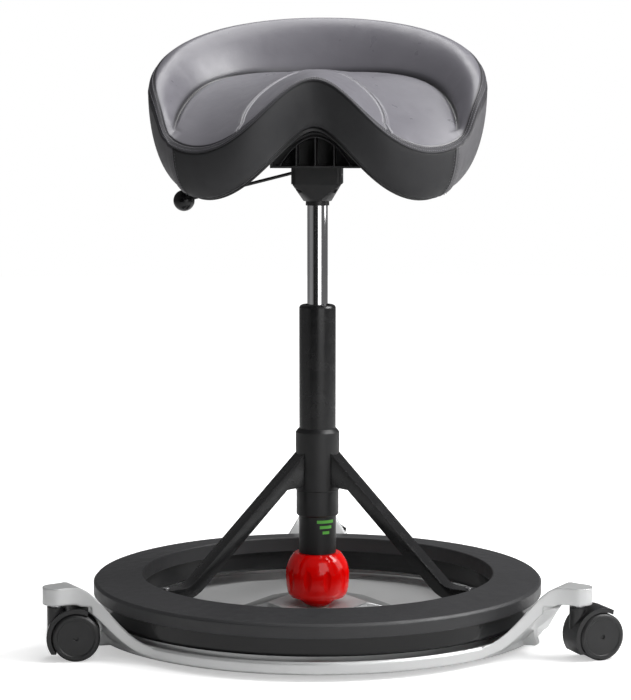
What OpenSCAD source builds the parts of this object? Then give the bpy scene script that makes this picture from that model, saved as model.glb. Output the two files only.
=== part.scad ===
// Active sitting chair: a saddle seat on a gas spring, carried by a ball that
// stands in a dished base on three castors, with a foot ring hung on three legs.
// Millimetres, Z up, origin on the floor under the column's axis.
// X points to the sitter's left seen from the front of the chair, Y to the back.

/* [Castors] */
// Diameter of a castor wheel
wheel_d = 62; // [55:1:68]
// Width of one wheel of a twin castor
wheel_w = 17; // [14:0.5:19]
// Distance from the swivel axis to the axle
castor_trail = 25; // [20:1:28]
// Turn of each castor at rest, about its own stem
castor_turns = [6, 21, 14];
// Radius of the castor stem
stem_r = 5; // [4:0.5:6]

/* [Base] */
// Distance from the edge of the disc to each castor stem
stem_out = 75.5; // [45:0.5:105]
// How far the disc stands out from under the foot ring
disc_margin = 7; // [0:1:17]
// Height of the underside of the disc above the floor
disc_clear = 8; // [6:0.5:12]
// Height of the band round the disc
band_h = 16.5; // [14:0.5:20]
// Thickness of the band round the disc
band_t = 8; // [5:0.5:9]
// Thickness of the disc's floor
floor_t = 3.5; // [3:0.5:6]
// Thickness of an arm at the castor stem
tip_t = 22; // [18:0.5:26]
// Half the width of an arm at the castor stem
tip_half = 17.5; // [15:0.5:24]
// Half the width of an arm where it leaves the disc
root_half = 95; // [70:1:110]
// Height of the ridges of the three raised plates round the ball
plate_top = 34; // [27:0.5:34]

/* [Ball and column] */
// Radius of the red ball at its widest
ball_r = 44; // [38:0.5:48]
// Radius of the dome that the ball stands on
dome_r = 33.8; // [30:0.2:38]
// Height of the lowest point of the ball
ball_foot = 25.9; // [24:0.1:28]
// Height of the widest part of the ball
ball_mid = 72; // [68:0.5:76]
// Number of finger flutes round the ball
ball_flutes = 10; // [6:1:14]
// Height where the guide tube meets the ball
tube_low = 103; // [98:0.5:106]
// Outer radius of the guide tube
tube_r = 25.5; // [22:0.5:27]
// Height of the lower edge of the collar
collar_low = 154.6; // [148:0.2:160]
// Height of the upper edge of the collar
collar_top = 275.6; // [260:0.2:290]
// Outer radius of the collar
collar_r = 30; // [28:0.5:34]
// Outer radius of the column sleeve
sleeve_r = 25; // [22:0.5:27]
// Height of the upper edge of the column sleeve
sleeve_top = 445.7; // [430:0.5:470]
// Radius of the chromed gas cylinder
cylinder_r = 14; // [12:0.5:16]
// Travel of the frame on the ball's screw
screw_travel = 5; // [2:0.5:6]

/* [Foot ring] */
// Outer radius of the foot ring
ring_r = 308; // [300:1:312]
// Width of the foot ring's face
ring_w = 66.5; // [53:0.5:78]
// Height of the ring's outer edge
ring_edge = 71; // [68:0.5:74]
// Height of the ring's inner edge
ring_crown = 77.5; // [74:0.5:80]
// Height of the joint between the tread ring and the lower ring
ring_split = 53; // [48:0.5:58]
// Height of the underside of the lower ring
ring_low = 28; // [27:0.5:34]

/* [Legs] */
// Width of a leg
leg_w = 24; // [18:0.5:28]
// Depth of a leg, square to its slope
leg_h = 16.5; // [14:0.5:20]
// Height where a leg's top face would meet the column's axis
leg_root_z = 269.5; // [262:0.5:276]
// Reach of a leg's flat end inside the foot ring
leg_flat_l = 38.5; // [30:0.5:50]
// Height of the flat end's top face
leg_flat_z = 75.5; // [72:0.5:75.5]

/* [Seat] */
// Overall width of the seat
seat_w = 458; // [420:2:500]
// Reach of the seat behind the column's axis
seat_back = 182; // [165:1:195]
// Reach of the seat in front of the column's axis
seat_front = 170; // [155:1:185]
// Height of the middle of the sitting surface
seat_mid_z = 765; // [750:1:780]
// Height of the back edge's crown above the middle of the sitting surface
back_rise = 76; // [50:1:90]
// Drop of the thigh cushions below the pommel at the front edge
thigh_drop = 102; // [70:1:110]
// Fall of the pommel's ridge towards the front edge
pommel_fall = 12; // [0:1:24]
// Thickness of the upholstered seat under the pommel
seat_t = 67; // [60:1:74]
// Thickness of the covers
cover_t = 3; // [2:0.5:4]
// Thickness of the plastic shell under the seat
shell_t = 7; // [4:0.5:8]
// Turn of the seat about the column at rest
seat_turn = -2.4; // [-30:0.1:30]

/* [Seat mechanism] */
// Height of the lower end of the mechanism's neck
neck_low = 580.7; // [575:0.1:590]
// Width of the mechanism's box
box_w = 68; // [60:1:80]
// Depth of the mechanism's box
box_l = 80; // [70:1:110]
// Height of the mechanism's box
box_h = 22; // [18:0.5:26]
// Diameter of the lever's knob
knob_d = 29; // [24:0.5:34]
// Radius of the lever's rod
lever_r = 2.25; // [2:0.25:3]
// Distance from the column's axis to the knob's centre
knob_reach = 182; // [165:1:190]
// Height of the knob's centre
knob_z = 587; // [583:0.5:592]

/* [Hidden] */
$fn = 96;
// Overrun of every cut past the face it leaves by
over = 1;
// Gap between faces on bodies that move past each other
clear = 0.3;
// Radial gap of a running fit, and of a piece seated in its bore
run = 0.05;
seat_gap = 0.02;
// Sides of coarse rounds, and of hull children
round_sides = 32;
small_sides = 24;

// Directions of the arms and of the legs, seen from above
arm_angles = [210, 330, 90];
// Numbers of the castors in castor_turns
LEFT = 0;
RIGHT = 1;
BACK = 2;

// A smooth step from 0 to 1
function ease(x) = let (c = min(max(x, 0), 1)) c * c * (3 - 2 * c);
function mix(p, q, share) = p + (q - p) * share;

// Base heights and places
floor_top = disc_clear + floor_t;
band_top = disc_clear + band_h;
ring_in_r = ring_r - ring_w;
disc_r = ring_r + disc_margin;
stem_reach = disc_r + stem_out;
band_in_r = disc_r - band_t;
wheel_z = wheel_d / 2;
castor_gap = 4;
castor_run = 1;
hood_cover_t = 7;
tip_under = wheel_d + hood_cover_t + castor_gap + 0.5 * over;
tip_top = tip_under + tip_t;
root_reach = sqrt(disc_r * disc_r - root_half * root_half);
edge_round = 2.5;
bead_r_share = 0.745;
bead_h = 5;
bead_w = 12;
slope_in_share = 0.45;
slope_h = 3;
pad_r = 15;
pad_t = 3.5;
dome_z = ball_foot + dome_r;
pad_recess_r = dome_r + run + pad_t + clear;
plate_in = 56;
plate_out = 118;
plate_in_half = 43;
plate_out_half = 74;
plate_edge_h = 4;
plate_root = 3;
hub_inset = 1;
hub_dish_r = 50;
pad_seat_r = 17;
arm_steps = 14;
arm_rise_share = 0.81;
arm_lead_share = 0.03;
arm_under_share = 0.83;
web_t = 10;
web_in_share = 0.80;
bush_wall = 2;
bush_h = 19;
bush_flange_h = 1.5;
bush_flange_w = 3;
bush_r = stem_r + run + bush_wall;

// Castor sizes
wheel_gap = 8;
wheel_round = 3;
hub_cap_r_share = 0.8;
hub_cap_in = 1.2;
axle_r = 3;
axle_len = wheel_gap + 2 * wheel_w - 2 * wheel_round;
hood_t = 6;
hood_clear = 1;
hood_r = wheel_d / 2 + hood_clear + hood_t;
hood_far_share = 0.35;
hood_low_share = 0.55;
hood_back_share = 0.7;
neck_r = 12;
stem_len = bush_h - over;
collar_ring_r = 8;
collar_ring_h = castor_gap - clear;
hood_top = wheel_d + hood_cover_t + 0.5 * over;

// Column sizes
tube_wall = 2.5;
tube_top = 180;
tube_floor_t = 6;
bar_pitch = 7.5;
bar_h = 4;
bar_deep = 0.6;
bar_w = [24.7, 17.6, 10.2];
bars = len(bar_w);
bars_first = 4;
bars_turn = 27.5;
spindle_r = 8;
spindle_top = 186;
spindle_thread = 5;
thread_deep = 0.8;
nut_r = 18;
nut_h = 14;
web_low = 188;
web_top = 200;
rod_room_r = 12;
sleeve_low = 212;
sleeve_wall = 1.5;
sleeve_plate_t = 4;
sleeve_round = 4;
collar_chamfer = 5;
collar_skirt_r = collar_r - 1;
collar_split = 191;
collar_groove = 0.8;
washer_t = 1.5;
bush_len = 70;
rod_r = 5;
piston_z = 440;
piston_h = 12;
rod_foot = 203;
bearing_r = 12;
bearing_h = 7;
ball_bearing_r = 1.5;
ball_bearings = 12;
clip_t = 1.5;
clip_r = 9;
cylinder_low = 335;
cylinder_wall = 1.5;
cylinder_top = 622;
cylinder_cap_t = 6;
cylinder_guide_h = 12;
pin_r = 3;
pin_up = 6;
pin_proud = 3.5;
pin_foot_r = 5;

// Ball profile: points from the tube down to the dome, as shares of ball_r and
// of the height above or below ball_mid
ball_upper_steps = 10;
ball_skirt_r_share = 0.875;
ball_skirt_z = 44;
ball_step_z = 41.8;
flute_share = 0.035;
flute_r_share = 0.3;

// Ring sizes
ring_bevel = 3;
ring_inset = 5;
ring_groove = 2.4;
ring_wall = 4;
ring_round = 5;
tread_t = 5;
ring_screw_r = 2.5;
ring_screw_head_r = 4.5;
ring_screw_head_h = 1.6;
ring_screw_len = 12;
ring_screw_in = 9;
ring_lug_t = 6;
ring_lug_in = 20;

// Leg sizes
leg_end = ring_in_r + ring_wall;
leg_bend_r = 30;
leg_bend_steps = 6;
leg_flare = 24;
leg_root_share = 1.9;
leg_slope = atan2(leg_root_z - leg_flat_z, ring_in_r - leg_flat_l);
leg_rise = leg_h / cos(leg_slope);

// Mechanism sizes
box_low = neck_low + 29.5;
box_top = box_low + box_h;
neck_r_low = cylinder_r - 2.5;
neck_wall_r = cylinder_r + 2;
funnel_w_share = 0.94;
socket_r = cylinder_r + seat_gap;
box_round = 6;
pocket_r = 4.5;
pocket_reach = 25;
pocket_tilt = 40;
screw_r = 2.5;
bracket_w = 120;
bracket_l = 150;
bracket_wall = 3;
bracket_rib = 2;
bracket_gap = 3;
arch_rise = 41;
arch_half = 47;
side_rib_x = 25;
recess_deep = 12;
bolt_r = 3;
bolt_l = 24;
bolt_head_r = 5.5;
bolt_head_h = 3;
bolt_x = 52;
bolt_y = 55;
bolt_bite = 4;
lever_root_x = -20;
lever_root_z = cylinder_top + 6;
pin_hole_r = 1.5;
lever_eye_r = 4;
lever_eye_t = 6;
lever_nose_r = 2.2;
lever_nose_rise = 1;
knob_neck = 3;

// Seat surface, in the seat's own axes before seat_turn
half_w = seat_w / 2;
outline_share = 0.967;
notch_deep = 50;
notch_half = 60;
crown_c = 32;
thigh_half = 214;
ridge_w = 36;
under_ridge_w = 20;
lobe_t = 20;
corner_rise = 37;
corner_from = 187;
corner_span = 109;
ridge_peak_y = 45;
bowl_y = 105;
drop_share = 1.15;
front_angle = -32;
bowl_in_share = 0.61;
bowl_power_share = 0.56;
rim_share = 0.90;
rim_power_share = 0.68;
rim_corner_share = 0.75;
rim_corner_span_share = 0.06;
rim_roll = 22.5;
side_roll_share = 0.92;
shoulder = 2.5;
shoulder_share = 0.88;
band_in_side = 37;
band_in_front = 22;
cover_edge_share = 0.976;
foam_edge_share = 0.965;
foam_edge_drop = 2;
panel_gap_a = 0.35;
pommel_half_a = 26;
pommel_bow_a = 9;
seam_dip = 3;
seam_dip_w_share = 0.09;
a_step = 6;
fine_from = 240;
fine_to = 300;
foam_gap = 1.6;
foam_low_share = 0.95;

// Plan outline of the seat at an angle about the crown's centre
function spow(x, p) = sign(x) * pow(abs(x), p);
function plan(a) = let (
        x = half_w * spow(cos(a), outline_share),
        s = sin(a),
        reach = s > 0 ? seat_back : seat_front,
        y = reach * spow(s, outline_share),
        inset = s < 0 ? notch_deep * exp(-pow(x / notch_half, 2)) : 0)
    [x, y + inset];
// A point of the plan at a share of the way from the crown's centre
function plan_at(a, share) = mix([0, crown_c], plan(a), share);

// Sitting surface without the back's rim
function ridge(y) = seat_mid_z
    - pommel_fall * pow(max((ridge_peak_y - y) / (ridge_peak_y + seat_front), 0), 2) * 2
    - over * 2 * ease((y - ridge_peak_y) / (bowl_y - ridge_peak_y));
function thigh(x, w = ridge_w) = sin(90 * min((sqrt(x * x + w * w) - w)
    / (sqrt(thigh_half * thigh_half + w * w) - w), 1));
function pan(p, w = ridge_w) = ridge(p[1])
    - thigh_drop * pow(max((bowl_y - p[1]) / (bowl_y + seat_front - notch_deep), 0), drop_share)
        * thigh(p[0], w)
    + corner_rise * ease((abs(p[0]) - corner_from) / corner_span)
        * ease((crown_c - p[1]) / (crown_c + seat_front));

// How far an angle lies into the back's rim: 0 at the front corners, 1 at the back
function mirrored(a) = let (b = (a % 360 + 360) % 360) b > 270 ? b - 360 : (b > 90 ? 180 - b : b);
function back_share(a) = min(max((mirrored(a) - front_angle) / (90 - front_angle), 0), 1);
function rim_share_at(a) = sin(90 * back_share(a));
function bowl_at(a) = 1 - (1 - bowl_in_share) * pow(sin(90 * back_share(a)), bowl_power_share);
function rim_z(a) = let (corner = pan(plan(front_angle)))
    mix(corner, seat_mid_z + back_rise, pow(rim_share_at(a), rim_power_share)
        * (1 - rim_corner_share * exp(-pow(back_share(a) / rim_corner_span_share, 2))));
function roll(a) = rim_roll * mix(side_roll_share, 1, pow(max(sin(mirrored(a)), 0), 2))
    * min(back_share(a) * 4, 1);
function rim_at(a) = mix(1, rim_share, min(back_share(a) * 3, 1));

// Upper surface of the upholstery at an angle and a share of the way out
function seat_z(a, share) = let (
        b = bowl_at(a),
        r = rim_at(a),
        base = pan(plan_at(a, min(share, b))),
        edge = back_share(a) > 0 ? 0
            : shoulder * pow(max((share - shoulder_share) / (1 - shoulder_share), 0), 2),
        dip = back_share(a) > 0 && share <= b
            ? seam_dip * pow(max(1 - (b - share) / seam_dip_w_share, 0), 2)
                * min(back_share(a) * 6, 1) : 0)
    share <= b || back_share(a) == 0 ? pan(plan_at(a, share)) - edge - dip
        : share <= r ? mix(base - seam_dip * min(back_share(a) * 6, 1), rim_z(a),
            sin(90 * (share - b) / (r - b)))
        : rim_z(a) - roll(a) * (1 - sqrt(max(1 - pow((share - r) / (1 - r), 2), 0)));
function seat_point(a, share, deep) = let (p = plan_at(a, share))
    [p[0], p[1], seat_z(a, share) - deep];

// Side band, from the seam (0) to its lower edge (1)
function band_inset(a) = mix(band_in_front, band_in_side, back_share(a) > 0 ? 1
    : pow(abs(cos(a)), 2));
function under_z(p) = pan(p, under_ridge_w) - seat_t - lobe_t * thigh(p[0], under_ridge_w);
function band_point(a, share, deep) = let (
        e = plan(a),
        span = norm(e - [0, crown_c]),
        low = plan_at(a, 1 - band_inset(a) / span),
        p = mix(e, low, 1 - cos(90 * share)) + deep * ([0, crown_c] - e) / span,
        top = seat_z(a, 1))
    [p[0], p[1], mix(top, under_z(low), sin(90 * share))];
function under_point(a, share, deep) = let (
        e = plan(a),
        span = norm(e - [0, crown_c]),
        p = plan_at(a, share * (1 - band_inset(a) / span)))
    [p[0], p[1], under_z(p) - deep];

// A closed solid between two grids of points, rows by columns, both open
module slab(top, low) {
    rows = len(top);
    cols = len(top[0]);
    n = rows * cols;
    points = concat([for (r = top) for (p = r) p], [for (r = low) for (p = r) p]);
    skin = [for (i = [0 : rows - 2]) for (j = [0 : cols - 2])
        let (k = i * cols + j) each [[k, k + 1, k + cols], [k + 1, k + cols + 1, k + cols]]];
    back = [for (f = skin) [f[2] + n, f[1] + n, f[0] + n]];
    left = [for (i = [0 : rows - 2]) let (k = i * cols)
        each [[k, k + cols, k + n], [k + cols, k + cols + n, k + n]]];
    right = [for (i = [0 : rows - 2]) let (k = i * cols + cols - 1)
        each [[k + cols, k, k + n], [k + cols, k + n, k + cols + n]]];
    first = [for (j = [0 : cols - 2]) each [[j + 1, j, j + n], [j + 1, j + n, j + 1 + n]]];
    last = [for (j = [0 : cols - 2]) let (k = (rows - 1) * cols + j)
        each [[k, k + 1, k + n], [k + 1, k + 1 + n, k + n]]];
    polyhedron(points, concat(skin, back, left, right, first, last), convexity = 8);
}

// A closed ring of sections: each row is one closed section, the rows join end to end
module ring_of(rows_) {
    rows = len(rows_);
    cols = len(rows_[0]);
    points = [for (r = rows_) for (p = r) p];
    faces = [for (i = [0 : rows - 1]) for (j = [0 : cols - 1])
        let (k = i * cols + j, l = i * cols + (j + 1) % cols,
            m = ((i + 1) % rows) * cols + j, n = ((i + 1) % rows) * cols + (j + 1) % cols)
        each [[k, l, m], [l, n, m]]];
    polyhedron(points, faces, convexity = 8);
}

// A closed solid of rings round one pole above and one below, joined at their last rings
module domed(top_pole, top, low_pole, low) {
    cols = len(top[0]);
    n = len(top) * cols;
    m = n + len(low) * cols;
    points = concat([for (r = top) for (p = r) p], [for (r = low) for (p = r) p],
        [top_pole, low_pole]);
    cap = [for (j = [0 : cols - 1]) [m, j, (j + 1) % cols]];
    low_cap = [for (j = [0 : cols - 1]) [m + 1, (j + 1) % cols + n, j + n]];
    skin = [for (i = [0 : len(top) - 2]) for (j = [0 : cols - 1])
        let (k = i * cols + j, l = i * cols + (j + 1) % cols)
        each [[k, k + cols, l], [l, k + cols, l + cols]]];
    low_skin = [for (i = [0 : len(low) - 2]) for (j = [0 : cols - 1])
        let (k = n + i * cols + j, l = n + i * cols + (j + 1) % cols)
        each [[l, k + cols, k], [l + cols, k + cols, l]]];
    rim = [for (j = [0 : cols - 1])
        let (k = n - cols + j, l = n - cols + (j + 1) % cols, u = m - cols + j,
            v = m - cols + (j + 1) % cols)
        each [[k, u, l], [l, u, v]]];
    polyhedron(points, concat(cap, low_cap, skin, low_skin, rim), convexity = 8);
}

// Places a child in the seat's own axes, turned as the seat stands at rest
module on_seat() rotate([0, 0, seat_turn]) children();

// Base: a solid disc with its arms, hollowed out together so that the band stands up
module disc_profile() polygon([
    [0, disc_clear], [disc_r - edge_round, disc_clear], [disc_r, disc_clear + edge_round],
    [disc_r, band_top - edge_round], [disc_r - edge_round, band_top], [0, band_top]
]);

module hollow_profile() {
    bead_r = disc_r * bead_r_share;
    slope_r = disc_r * slope_in_share;
    polygon([
        [0, floor_top + over], [slope_r, floor_top + over],
        [mix(slope_r, bead_r, 0.5), floor_top + slope_h], [bead_r - bead_w / 2, floor_top + bead_h],
        [bead_r, floor_top + bead_h], [bead_r + bead_w / 2, floor_top + bead_h / 2],
        [bead_r + bead_w, floor_top], [band_in_r, floor_top], [band_in_r, band_top - edge_round],
        [band_in_r + edge_round, band_top], [band_in_r + edge_round, tip_top], [0, tip_top]
    ]);
}

function arm_r(t) = mix(root_reach, stem_reach, t);
function arm_half(t) = mix(root_half, tip_half, 1 - pow(1 - t, 2));
function arm_top(t) = mix(band_top, tip_top, ease((t + arm_lead_share) / arm_rise_share));
arm_low = disc_clear + edge_round + over;
function arm_under(t) = mix(arm_low, tip_under, ease(t / arm_under_share));

module arm_plan() {
    ts = [for (i = [0 : arm_steps]) i / arm_steps];
    inner = root_reach - root_half / 4;
    polygon(concat(
        [[inner, -root_half], for (t = ts) [arm_r(t), -arm_half(t)]],
        [for (i = [arm_steps : -1 : 0]) [arm_r(ts[i]), arm_half(ts[i])]],
        [[inner, root_half]]));
    translate([stem_reach, 0]) circle(tip_half);
}

module arm_side() {
    ts = [for (i = [0 : arm_steps]) i / arm_steps];
    reach = stem_reach + tip_half + over;
    polygon(concat(
        [[root_reach - root_half / 2, arm_low], [root_reach - root_half / 2, band_top]],
        [for (t = ts) [arm_r(t), arm_top(t)]],
        [[reach, tip_top], [reach, tip_under]],
        [for (i = [arm_steps : -1 : 0]) [arm_r(ts[i]), arm_under(ts[i])]]));
}

module arm_web() {
    ts = [for (i = [0 : arm_steps]) i / arm_steps];
    under = [for (t = ts) if (t < web_in_share) [arm_r(t), arm_under(t) + over]];
    rotate([90, 0, 0]) linear_extrude(web_t, center = true)
        polygon(concat([[root_reach - web_t, disc_clear + over]], under,
            [[stem_reach - tip_half, tip_under + over], [stem_reach - tip_half, tip_under - tip_t / 4],
             [mix(root_reach, stem_reach, 0.35), disc_clear + floor_t]]));
}

// Room that a castor sweeps as it turns on its stem
module castor_room() {
    half = wheel_gap / 2 + wheel_w + castor_run;
    sweep_r = wheel_d / 2 + castor_run;
    arc = [for (q = [-90 : 15 : 90])
        [norm([castor_trail + sweep_r * cos(q), half]), wheel_d / 2 + sweep_r * sin(q)]];
    hood_reach = norm([castor_trail + hood_far_share * wheel_d / 2 + hood_t, half]);
    translate([stem_reach, 0, 0]) rotate_extrude() {
        polygon(concat([[0, -castor_run]], arc, [[0, wheel_d + castor_run]]));
        translate([0, wheel_d / 2]) square([hood_reach, hood_top + castor_run - wheel_d / 2]);
    }
}

module base_arm() difference() {
    union() {
        arm_body();
        arm_web();
    }
    castor_room();
}

module arm_body() {
    intersection() {
        linear_extrude(tip_top + over) arm_plan();
        rotate([90, 0, 0]) linear_extrude(2 * root_half + over, center = true) arm_side();
    }
}

// Raised plate between two arms: level along its ridge, falling outwards
module raised_plate() intersection() {
    linear_extrude(plate_top) polygon([[plate_in - plate_root, -plate_in_half],
        [plate_in, -plate_in_half], [plate_out, -plate_out_half], [plate_out, plate_out_half],
        [plate_in, plate_in_half], [plate_in - plate_root, plate_in_half]]);
    rotate([90, 0, 0]) linear_extrude(2 * plate_out_half + over, center = true)
        polygon([[plate_in - 2 * plate_root, disc_clear + over], [plate_out + over, disc_clear + over],
            [plate_out + over, floor_top + plate_edge_h], [plate_in, plate_top],
            [plate_in - 2 * plate_root, plate_top]]);
}

// Six-sided hub between the ridges, its corners inside them, dished towards the ball
module hub() difference() {
    translate([0, 0, disc_clear + over]) linear_extrude(plate_top - disc_clear - over)
        polygon([for (a = arm_angles) for (side = [-1, 1])
            let (c = a + 60, r = plate_in - hub_inset, t = side * (plate_in_half - hub_inset))
            [r * cos(c) - t * sin(c), r * sin(c) + t * cos(c)]]);
    rotate_extrude() polygon([[0, ball_foot + over], [pad_seat_r, ball_foot + over],
        [hub_dish_r, plate_top], [hub_dish_r, plate_top + over], [0, plate_top + over]]);
}

module base_casting() color("silver") {
    difference() {
        union() {
            difference() {
                union() {
                    rotate_extrude($fn = 180) disc_profile();
                    for (a = arm_angles) rotate([0, 0, a]) base_arm();
                }
                rotate_extrude($fn = 180) hollow_profile();
            }
            for (a = arm_angles) rotate([0, 0, a + 60]) raised_plate();
            hub();
        }
        translate([0, 0, dome_z]) sphere(pad_recess_r);
        for (a = arm_angles) rotate([0, 0, a]) translate([stem_reach, 0, tip_under - over])
            cylinder(r = bush_r, h = bush_h + over);
    }
}

module castor_bushes() color("dimgray")
    for (a = arm_angles) rotate([0, 0, a]) translate([stem_reach, 0, 0]) difference() {
        union() {
            translate([0, 0, tip_under]) cylinder(r = bush_r - seat_gap, h = bush_h - over);
            translate([0, 0, tip_under - bush_flange_h])
                cylinder(r = bush_r + bush_flange_w, h = bush_flange_h);
        }
        translate([0, 0, tip_under - bush_flange_h - over])
            cylinder(r = stem_r + run, h = bush_h + bush_flange_h + 2 * over);
    }

// Round pad between the ball's dome and the dish, both its faces parts of spheres
module ball_pad() color("ivory") difference() {
    intersection() {
        translate([0, 0, dome_z]) sphere(dome_r + run + pad_t);
        cylinder(r = pad_r, h = ball_foot + over);
    }
    translate([0, 0, dome_z]) sphere(dome_r + run);
}

// Castors: built with the stem on the origin's axis and the trail along X
module at_castor(i) rotate([0, 0, arm_angles[i]]) translate([stem_reach, 0, 0])
    rotate([0, 0, castor_turns[i] - arm_angles[i]]) children();

module castor_stem() color("silver") {
    translate([0, 0, hood_top - over])
        cylinder(r = stem_r, h = tip_under - hood_top + stem_len + over);
    translate([0, 0, hood_top]) cylinder(r = collar_ring_r, h = collar_ring_h - bush_flange_h);
}

// Outline of the hood: over the wheels from just past their top to low behind
module hood_side() {
    far = hood_far_share * wheel_d / 2;
    intersection() {
        circle(hood_r);
        polygon([[far, 0], [far + hood_t, hood_r], [-hood_r, hood_r], [-hood_r, -hood_low_share * hood_r],
            [-hood_back_share * hood_r, -hood_low_share * hood_r], [0, 0]]);
    }
}

module castor_hood() color("black") difference() {
    union() {
        translate([castor_trail, 0, wheel_z]) rotate([90, 0, 0])
            cylinder(r = wheel_d / 2 - wheel_round, h = wheel_gap - 2 * clear, center = true);
        translate([castor_trail, 0, wheel_z]) rotate([90, 0, 0])
            linear_extrude(wheel_gap + 2 * wheel_w - wheel_round, center = true) hood_side();
        translate([0, 0, wheel_z]) cylinder(r = neck_r, h = hood_top - wheel_z);
    }
    for (side = [-1, 1])
        translate([castor_trail, side * (wheel_gap / 2 + wheel_w / 2), wheel_z])
            rotate([90, 0, 0])
                cylinder(r = wheel_d / 2 + hood_clear, h = wheel_w + 2 * clear, center = true);
    translate([castor_trail, 0, wheel_z]) rotate([90, 0, 0])
        cylinder(r = axle_r + seat_gap, h = 4 * wheel_w, center = true);
    translate([0, 0, hood_top - bush_h]) cylinder(r = stem_r + seat_gap, h = bush_h + over);
}

module castor_axle() color("silver") translate([castor_trail, 0, wheel_z])
    rotate([90, 0, 0]) cylinder(r = axle_r, h = axle_len, center = true);

module wheel_profile() {
    r = wheel_d / 2;
    cap = r * hub_cap_r_share;
    polygon([[axle_r + run, 0], [r - wheel_round, 0], [r, wheel_round],
        [r, wheel_w - wheel_round], [r - wheel_round, wheel_w], [cap, wheel_w],
        [cap - hub_cap_in, wheel_w - hub_cap_in], [axle_r + hub_cap_in, wheel_w - hub_cap_in],
        [axle_r + run, wheel_w - hub_cap_in]]);
}

module castor_wheel(side) color("black") translate([castor_trail, side * wheel_gap / 2, wheel_z])
    rotate([-90 * side, 0, 0]) difference() {
        rotate_extrude() wheel_profile();
    }

// Column foot: guide tube, its marks, the washer, the ball and its screw
module guide_tube() color("black") difference() {
    translate([0, 0, tube_low]) cylinder(r = tube_r, h = tube_top - tube_low);
    translate([0, 0, tube_low + tube_floor_t])
        cylinder(r = tube_r - tube_wall, h = tube_top - tube_low);
    translate([0, 0, tube_low - over]) cylinder(r = spindle_r + run, h = tube_floor_t + 2 * over);
    mark_blocks(seat_gap);
}

module mark_blocks(grow) for (i = [0 : bars - 1])
    rotate([0, 0, bars_turn]) intersection() {
        difference() {
            cylinder(r = tube_r + over, h = collar_low);
            translate([0, 0, -over])
                cylinder(r = tube_r - bar_deep - grow, h = collar_low + 2 * over);
        }
        translate([-bar_w[i] / 2 - grow, -2 * tube_r,
                collar_low - bars_first - bar_h - i * bar_pitch - grow])
            cube([bar_w[i] + 2 * grow, 2 * tube_r, bar_h + 2 * grow]);
    }

module level_marks() color("limegreen") intersection() {
    mark_blocks(0);
    cylinder(r = tube_r, h = collar_low);
}

module spindle_washer() color("silver") translate([0, 0, tube_low - washer_t]) difference() {
    cylinder(r = tube_r - tube_wall, h = washer_t - clear / 2);
    translate([0, 0, -over]) cylinder(r = spindle_r + run, h = washer_t + 2 * over);
}

ball_cut = tube_low - clear;
function ball_outline() = let (
        top = asin((ball_cut - ball_mid) / ball_r),
        low_a = -asin((ball_mid - ball_skirt_z) / ball_r))
    concat(
        [[0, ball_cut - washer_t]],
        [[tube_r - tube_wall + clear, ball_cut - washer_t], [tube_r - tube_wall + clear, ball_cut]],
        [for (i = [0 : ball_upper_steps]) let (b = mix(top, 0, i / ball_upper_steps))
            [ball_r * cos(b), ball_mid + ball_r * sin(b)]],
        [for (i = [1 : ball_upper_steps / 2]) let (s = i / (ball_upper_steps / 2))
            [ball_r * mix(1, ball_skirt_r_share, 1 - cos(90 * s)), mix(ball_mid, ball_skirt_z, sin(90 * s))]],
        [[ball_r * ball_skirt_r_share - over, ball_step_z],
         [sqrt(pow(dome_r, 2) - pow(dome_z - ball_step_z, 2)), ball_step_z]],
        [for (i = [1 : ball_upper_steps]) let (
                from = acos((dome_z - ball_step_z) / dome_r),
                b = from * (1 - i / ball_upper_steps))
            [dome_r * sin(b), dome_z - dome_r * cos(b)]]);

module red_ball() color("red") difference() {
    rotate_extrude() polygon(ball_outline());
    for (i = [0 : ball_flutes - 1]) rotate([0, 0, i * 360 / ball_flutes])
        translate([ball_r * (1 + flute_r_share - flute_share), 0, ball_skirt_z - 2 * over])
            cylinder(r = ball_r * flute_r_share, h = ball_r, $fn = round_sides);
    translate([0, 0, dome_z]) cylinder(r = spindle_r + seat_gap, h = ball_r + over);
}

module ball_spindle() color("silver") {
    difference() {
        translate([0, 0, dome_z]) cylinder(r = spindle_r, h = spindle_top - dome_z);
        for (z = [web_low - nut_h - screw_travel : spindle_thread : spindle_top - spindle_thread])
            translate([0, 0, z]) difference() {
                cylinder(r = spindle_r + over, h = spindle_thread / 2);
                translate([0, 0, -over])
                    cylinder(r = spindle_r - thread_deep, h = spindle_thread + 2 * over);
            }
    }
}

// Frame: collar, legs, ring and the gas spring's outer parts
module collar_profile() polygon([
    [tube_r + run, collar_low], [collar_skirt_r - collar_chamfer / 2, collar_low],
    [collar_skirt_r, collar_low + collar_chamfer / 2], [collar_skirt_r, collar_split - collar_groove],
    [collar_r, collar_split], [collar_r, collar_top - collar_chamfer],
    [sleeve_r + seat_gap + over, collar_top], [sleeve_r + seat_gap, collar_top],
    [sleeve_r + seat_gap, sleeve_low], [rod_room_r, sleeve_low], [rod_room_r, web_top],
    [spindle_r + over, web_top], [spindle_r + over, web_low], [tube_r + run, web_low]
]);

module collar() color("black") rotate_extrude() collar_profile();

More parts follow.
